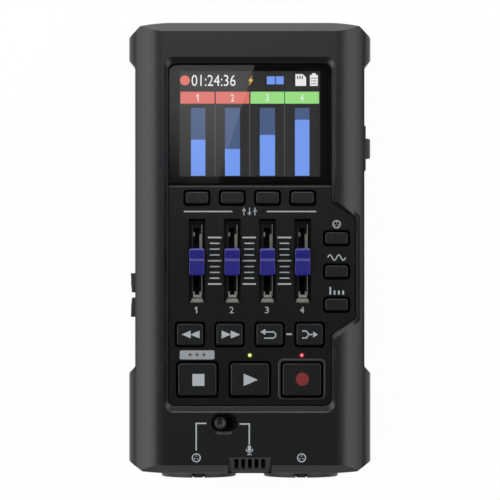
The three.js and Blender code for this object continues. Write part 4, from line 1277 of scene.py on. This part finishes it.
def make_power_switch():
    obj = soften(block("power_slider", (-33.25, 20.45, 24.8), (-30.1, 23.85, 27.2)), 0.25)
    for i in range(4):
        y = 21.1 + 0.7 * i
        cut(obj, block("groove", (-34, y - 0.13, 24), (-32.9, y + 0.13, 28)))
    unite(obj, block("flange", (-31.1, 17.45, 23.3), (-30.1, 26.85, 28.7)))
    piece(obj, key_abs, "power_switch", "key", "power_switch")


def make_phones_socket():
    outline = [
        (1.8, -33.2), (2.0, -33.4), (3.0, -33.4), (3.2, -33.2), (3.2, -30.8), (1.8, -30.8),
    ]
    obj = turned("phones_socket", outline, "X", PHONES, 40)
    body = block("body", (-31.1, 35.65, 22.5), (-19.1, 42.65, 31.3))
    cut(body, rod("bore", 1.8, -33.5, -21.4, "X", PHONES, 40))
    unite(obj, body)
    piece(obj, nylon, "case", "black_plastic", "phones_jack")
    liner = turned("phones_socket_liner", [
        (1.55, -33.1), (1.75, -33.1), (1.75, -26), (1.55, -26),
    ], "X", PHONES, 40)
    piece(liner, nickel, "case", "steel")


def make_usb_port():
    obj = prism("usb_shell", soft_box(9, 3.2, 1.59, USB, 8), 25.8, 33.1, "X")
    cut(obj, prism("mouth", soft_box(8.2, 2.4, 1.19, USB, 8), 26.2, 34, "X"))
    soften(obj, 0.1, 2, 50)
    unite(obj, block("feet", (25.8, 1.15, 27.2), (31.1, 7.15, 31.3)))
    piece(obj, nickel, "case", "steel", "usb_port")
    tongue = soften(block("usb_tongue", (25.9, 1.45, 25.65), (32.6, 6.85, 26.35)), 0.15)
    piece(tongue, nylon, "case", "black_plastic")
    pads = [
        block("pad", (28.7, 1.95 + 0.45 * i, z), (32.4, 2.2 + 0.45 * i, z + 0.02))
        for i in range(11) for z in (25.63, 26.35)
    ]
    piece(merged("usb_contacts", pads), gold, "case", "steel")


def make_memory_card():
    low, high = (corner / MM - Vector((0, MIDDLE, 0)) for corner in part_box("memory_card"))
    points = rounded([
        (high.x, low.y, 0.3), (high.x, high.y, 0.3), (low.x + 1.5, high.y, 0.3),
        (low.x, high.y - 1.5, 0.3), (low.x, low.y, 0.3),
    ], 3)
    obj = prism("card", points, low.z, high.z)
    soften(obj, 0.1)
    start = (high.x - 1.3, low.y + 2, high.z - 0.25)
    cut(obj, block("nail_groove", start, (high.x - 0.7, high.y - 2, 30)))
    piece(obj, nylon, "memory_card", "black_plastic", "memory_card")
    pads = [
        block("pad", (low.x + 0.4, low.y + 1.0 + 1.1 * i, low.z - 0.02),
              (low.x + 3.0, low.y + 1.75 + 1.1 * i, low.z))
        for i in range(8)
    ]
    piece(merged("card_contacts", pads), gold, "memory_card", "black_plastic")


# Rear


def make_battery_cover():
    """A thin lid with grip ribs and an arrow at the end that opens."""
    obj = prism("battery_lid", soft_box(33.6, 57.3, 0.8, (0, 6.0)), 1.5, 3.1)
    soften(obj, 0.25, 3)
    ribs = [
        prism("rib_groove", soft_box(12 - 1.1 * i, 0.7, 0.34, (0, 1.5 * i - 20.2), 4), 0, 1.85)
        for i in range(6)
    ]
    arrow = prism("arrow", [(-2.2, -10), (2.2, -10), (0, -7.2)], 0, 1.75)
    cut(obj, *ribs, arrow)
    piece(obj, shell_abs, "battery_cover", "shell", "battery_cover")


def make_screw(index, place):
    """A pan head with a cross recess, on its shank."""
    x, y = place
    obj = turned(f"screw_{index}", [
        (0, 3.9), (1.2, 3.92), (1.9, 4.12), (2.25, 4.55), (2.3, 4.9), (2.3, 5.7), (1.25, 5.7),
        (1.25, 25.0), (0.6, 25.7), (0, 25.7),
    ], "Z", place, 40)
    slot = prism("cross", [
        (x + a, y + b) for a, b in (
            (-1.2, -0.28), (-0.28, -0.28), (-0.28, -1.2), (0.28, -1.2), (0.28, -0.28), (1.2, -0.28),
            (1.2, 0.28), (0.28, 0.28), (0.28, 1.2), (-0.28, 1.2), (-0.28, 0.28), (-1.2, 0.28),
        )
    ], 3, 5.0)
    with editing(slot, "FACE", above(4.9)):
        resize(0.6, 0.6, (x, y, 5))
    cut(obj, slot)
    piece(obj, zinc, "case", "steel", f"case_screw_{index}")


def make_tripod_insert():
    """A brass insert with a quarter inch thread inside."""
    pitch = 1.27
    inside = []
    for i in range(7):
        z = 1.9 + pitch * i
        inside += [(2.62, z), (3.15, z + 0.55), (3.15, z + 0.7), (2.62, z + 1.2)]
    outline = [
        (4.3, 1.5), (4.5, 1.7), (4.5, 9.8), (4.3, 10), (2.9, 10), *reversed(inside), (3.1, 1.5),
    ]
    obj = turned("tripod_bush", outline, "Z", INSERT)
    piece(obj, brass, "case", "brass", "tripod_insert")


def make_cells():
    """Two plain AA cells, side by side and turned end for end."""
    outline = [
        (0, -25.75), (5.2, -25.75), (5.5, -25.55), (6.9, -25.55), (7.25, -25.1), (7.25, 24.0),
        (6.9, 24.6), (6.2, 24.75), (2.9, 24.75), (2.7, 25.0), (2.7, 25.55), (2.5, 25.75), (0, 25.75),
    ]
    for i, (x, turn) in enumerate([(-7.45, 1), (7.45, -1)], 1):
        obj = turned(f"cell_{i}", [(r, 6 + turn * h) for r, h in outline], "Y", (x, 10.65))
        piece(obj, sleeve, "case", "cell", f"battery_cell_{i}")
        ends = (6 - turn * 25.3, 6 + turn * 24.4)
        paint(obj, nickel, lambda c, n: not min(ends) < c.y < max(ends))


# Assembly

make_front_housing()
make_rear_housing()
make_control_panel()
make_window()
make_window_print()
make_display_module()
make_picture()
make_panel_print()
make_front_print()
make_keys()
make_lights()
make_faders()
make_switch_knob()
make_grille()
for letter, x in zip("ab", JACKS):
    make_jack(letter, x)
    make_contacts(letter, x)
    make_release_tab(letter, x)
make_dial_wheel()
make_dial_bezel()
make_volume_button("volume_up", VOLUME_UP, 1)
make_volume_button("volume_down", VOLUME_DOWN, -1)
make_power_switch()
make_phones_socket()
make_usb_port()
make_memory_card()
make_battery_cover()
for index, place in enumerate(SCREWS, 1):
    make_screw(index, place)
make_tripod_insert()
make_cells()

# What stays from the CAD is hidden in the case, or seen only deep in a slot
kept = {
    "main_board": solder_mask,
    "mic_capsule": felt_and_painted_shade,
    "dial_encoder": nickel,
    "dial_shaft": nickel,
    "input_switch_body": felt_and_painted_shade,
    **{f"fader_lever_{i}": nylon for i in range(1, 5)},
}
for name, material in kept.items():
    dress(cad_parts[name], material)


# Studio


def make_floor():
    """Looks white to the camera and in mirrors, and scatters light like paper."""
    bpy.ops.mesh.primitive_plane_add(size=8, location=(0, 0, 0))
    floor = named("floor")
    material, tree = blank("pale_floor")
    path = add_node(tree, "LightPath").outputs

    def calculated(operation, first, second):
        return add_node(tree, "Math", {0: first, 1: second}, operation=operation).outputs[0]

    seen = calculated("MAXIMUM", path["Is Camera Ray"], path["Is Glossy Ray"])
    through = calculated("MAXIMUM", seen, path["Is Transmission Ray"])
    paper = add_node(tree, "BsdfDiffuse", {"Color": colour("#f4f4f4")})
    white = add_node(tree, "Emission", {"Color": (1, 1, 1, 1), "Strength": 1})
    surface(material, {
        0: calculated("MULTIPLY", through, 0.96), 1: paper.outputs[0], 2: white.outputs[0],
    }, "MixShader")
    floor.data.materials.append(material)


def softbox(name, place, target, size, power):
    light = bpy.data.lights.new(name, "AREA")
    light.shape = "RECTANGLE"
    light.size, light.size_y = size
    light.energy = power
    obj = linked(bpy.data.objects.new(name, light))
    obj.location = place
    obj.rotation_euler = (Vector(target) - Vector(place)).to_track_quat("-Z", "Y").to_euler()
    obj.visible_camera = False
    return obj


def fade(lamp, start, end, low):
    """Weakens a lamp over its height, from 1 at the share `end` to `low` at the share `start`."""
    lamp.data.use_nodes = True
    tree = lamp.data.node_tree
    place = add_node(tree, "NewGeometry").outputs["Parametric"]
    along = add_node(tree, "SeparateXYZ", {0: place}).outputs["Y"]
    strength = spread(tree, along, low, 1, **{"From Min": start, "From Max": end})
    tree.links.new(strength, tree.nodes["Emission"].inputs["Strength"])


def make_studio():
    # Both side lamps are weaker towards the floor
    left = softbox("left_softbox", (-0.473, 0.0, 0.399), (0, 0, 0.03), (1.0, 0.63), 5.7)
    fade(left, 0, 0.9, 0.58)
    right = softbox("right_softbox", (0.446, 0.0, 0.431), (0, 0, 0.03), (1.0, 0.55), 4.2)
    fade(right, 0, 0.9, 0.4)
    # High beyond the display end, so that the flat faces grow darker towards the jacks
    softbox("high_softbox", (-0.04, 0.28, 1.08), (0, 0, 0.04), (0.3, 0.2), 0.66)
    softbox("top_softbox", (0.0, 0.24, 0.36), (0, 0.05, 0.04), (0.25, 0.12), 0.25)
    # Low beyond the display end: lights the end's chamfer and the steps that face it
    softbox("end_softbox", (0.0, 0.6, 0.12), (0, 0, 0.04), (0.8, 0.2), 2.2)
    # A small card near the camera, which the window mirrors in its upper left
    card = softbox("window_card", (-0.0417, 0.083, 1.131), (-0.0417, 0.083, 0), (0.07, 0.09), 0.0115)
    card.rotation_euler.z = radians(-17.3)
    fade(card, 0, 0.53, 0)
    # The background is white to the camera; its own light is faint, and weaker from above
    world = bpy.data.worlds.new("studio")
    bpy.context.scene.world = world
    world.use_nodes = True
    tree = world.node_tree
    tree.nodes.clear()
    seen = add_node(tree, "LightPath").outputs["Is Camera Ray"]
    way = add_node(tree, "TexCoord").outputs["Generated"]
    height = add_node(tree, "SeparateXYZ", {0: way}).outputs["Z"]
    fill = spread(tree, height, 0.3, 0.02, **{"From Max": 0.6})
    strength = spread(tree, seen, fill, 1)
    back = add_node(tree, "Background", {"Color": (1, 1, 1, 1), "Strength": strength})
    add_node(tree, "OutputWorld", {"Surface": back.outputs[0]})


def make_camera():
    camera = bpy.data.cameras.new("camera")
    camera.lens = LENS
    camera.sensor_width = SENSOR
    camera.clip_start, camera.clip_end = 0.01, 20
    obj = linked(bpy.data.objects.new("camera", camera))
    obj.location = EYE
    bpy.context.scene.camera = obj


make_floor()
make_studio()
make_camera()
bpy.context.scene.view_settings.view_transform = "Standard"
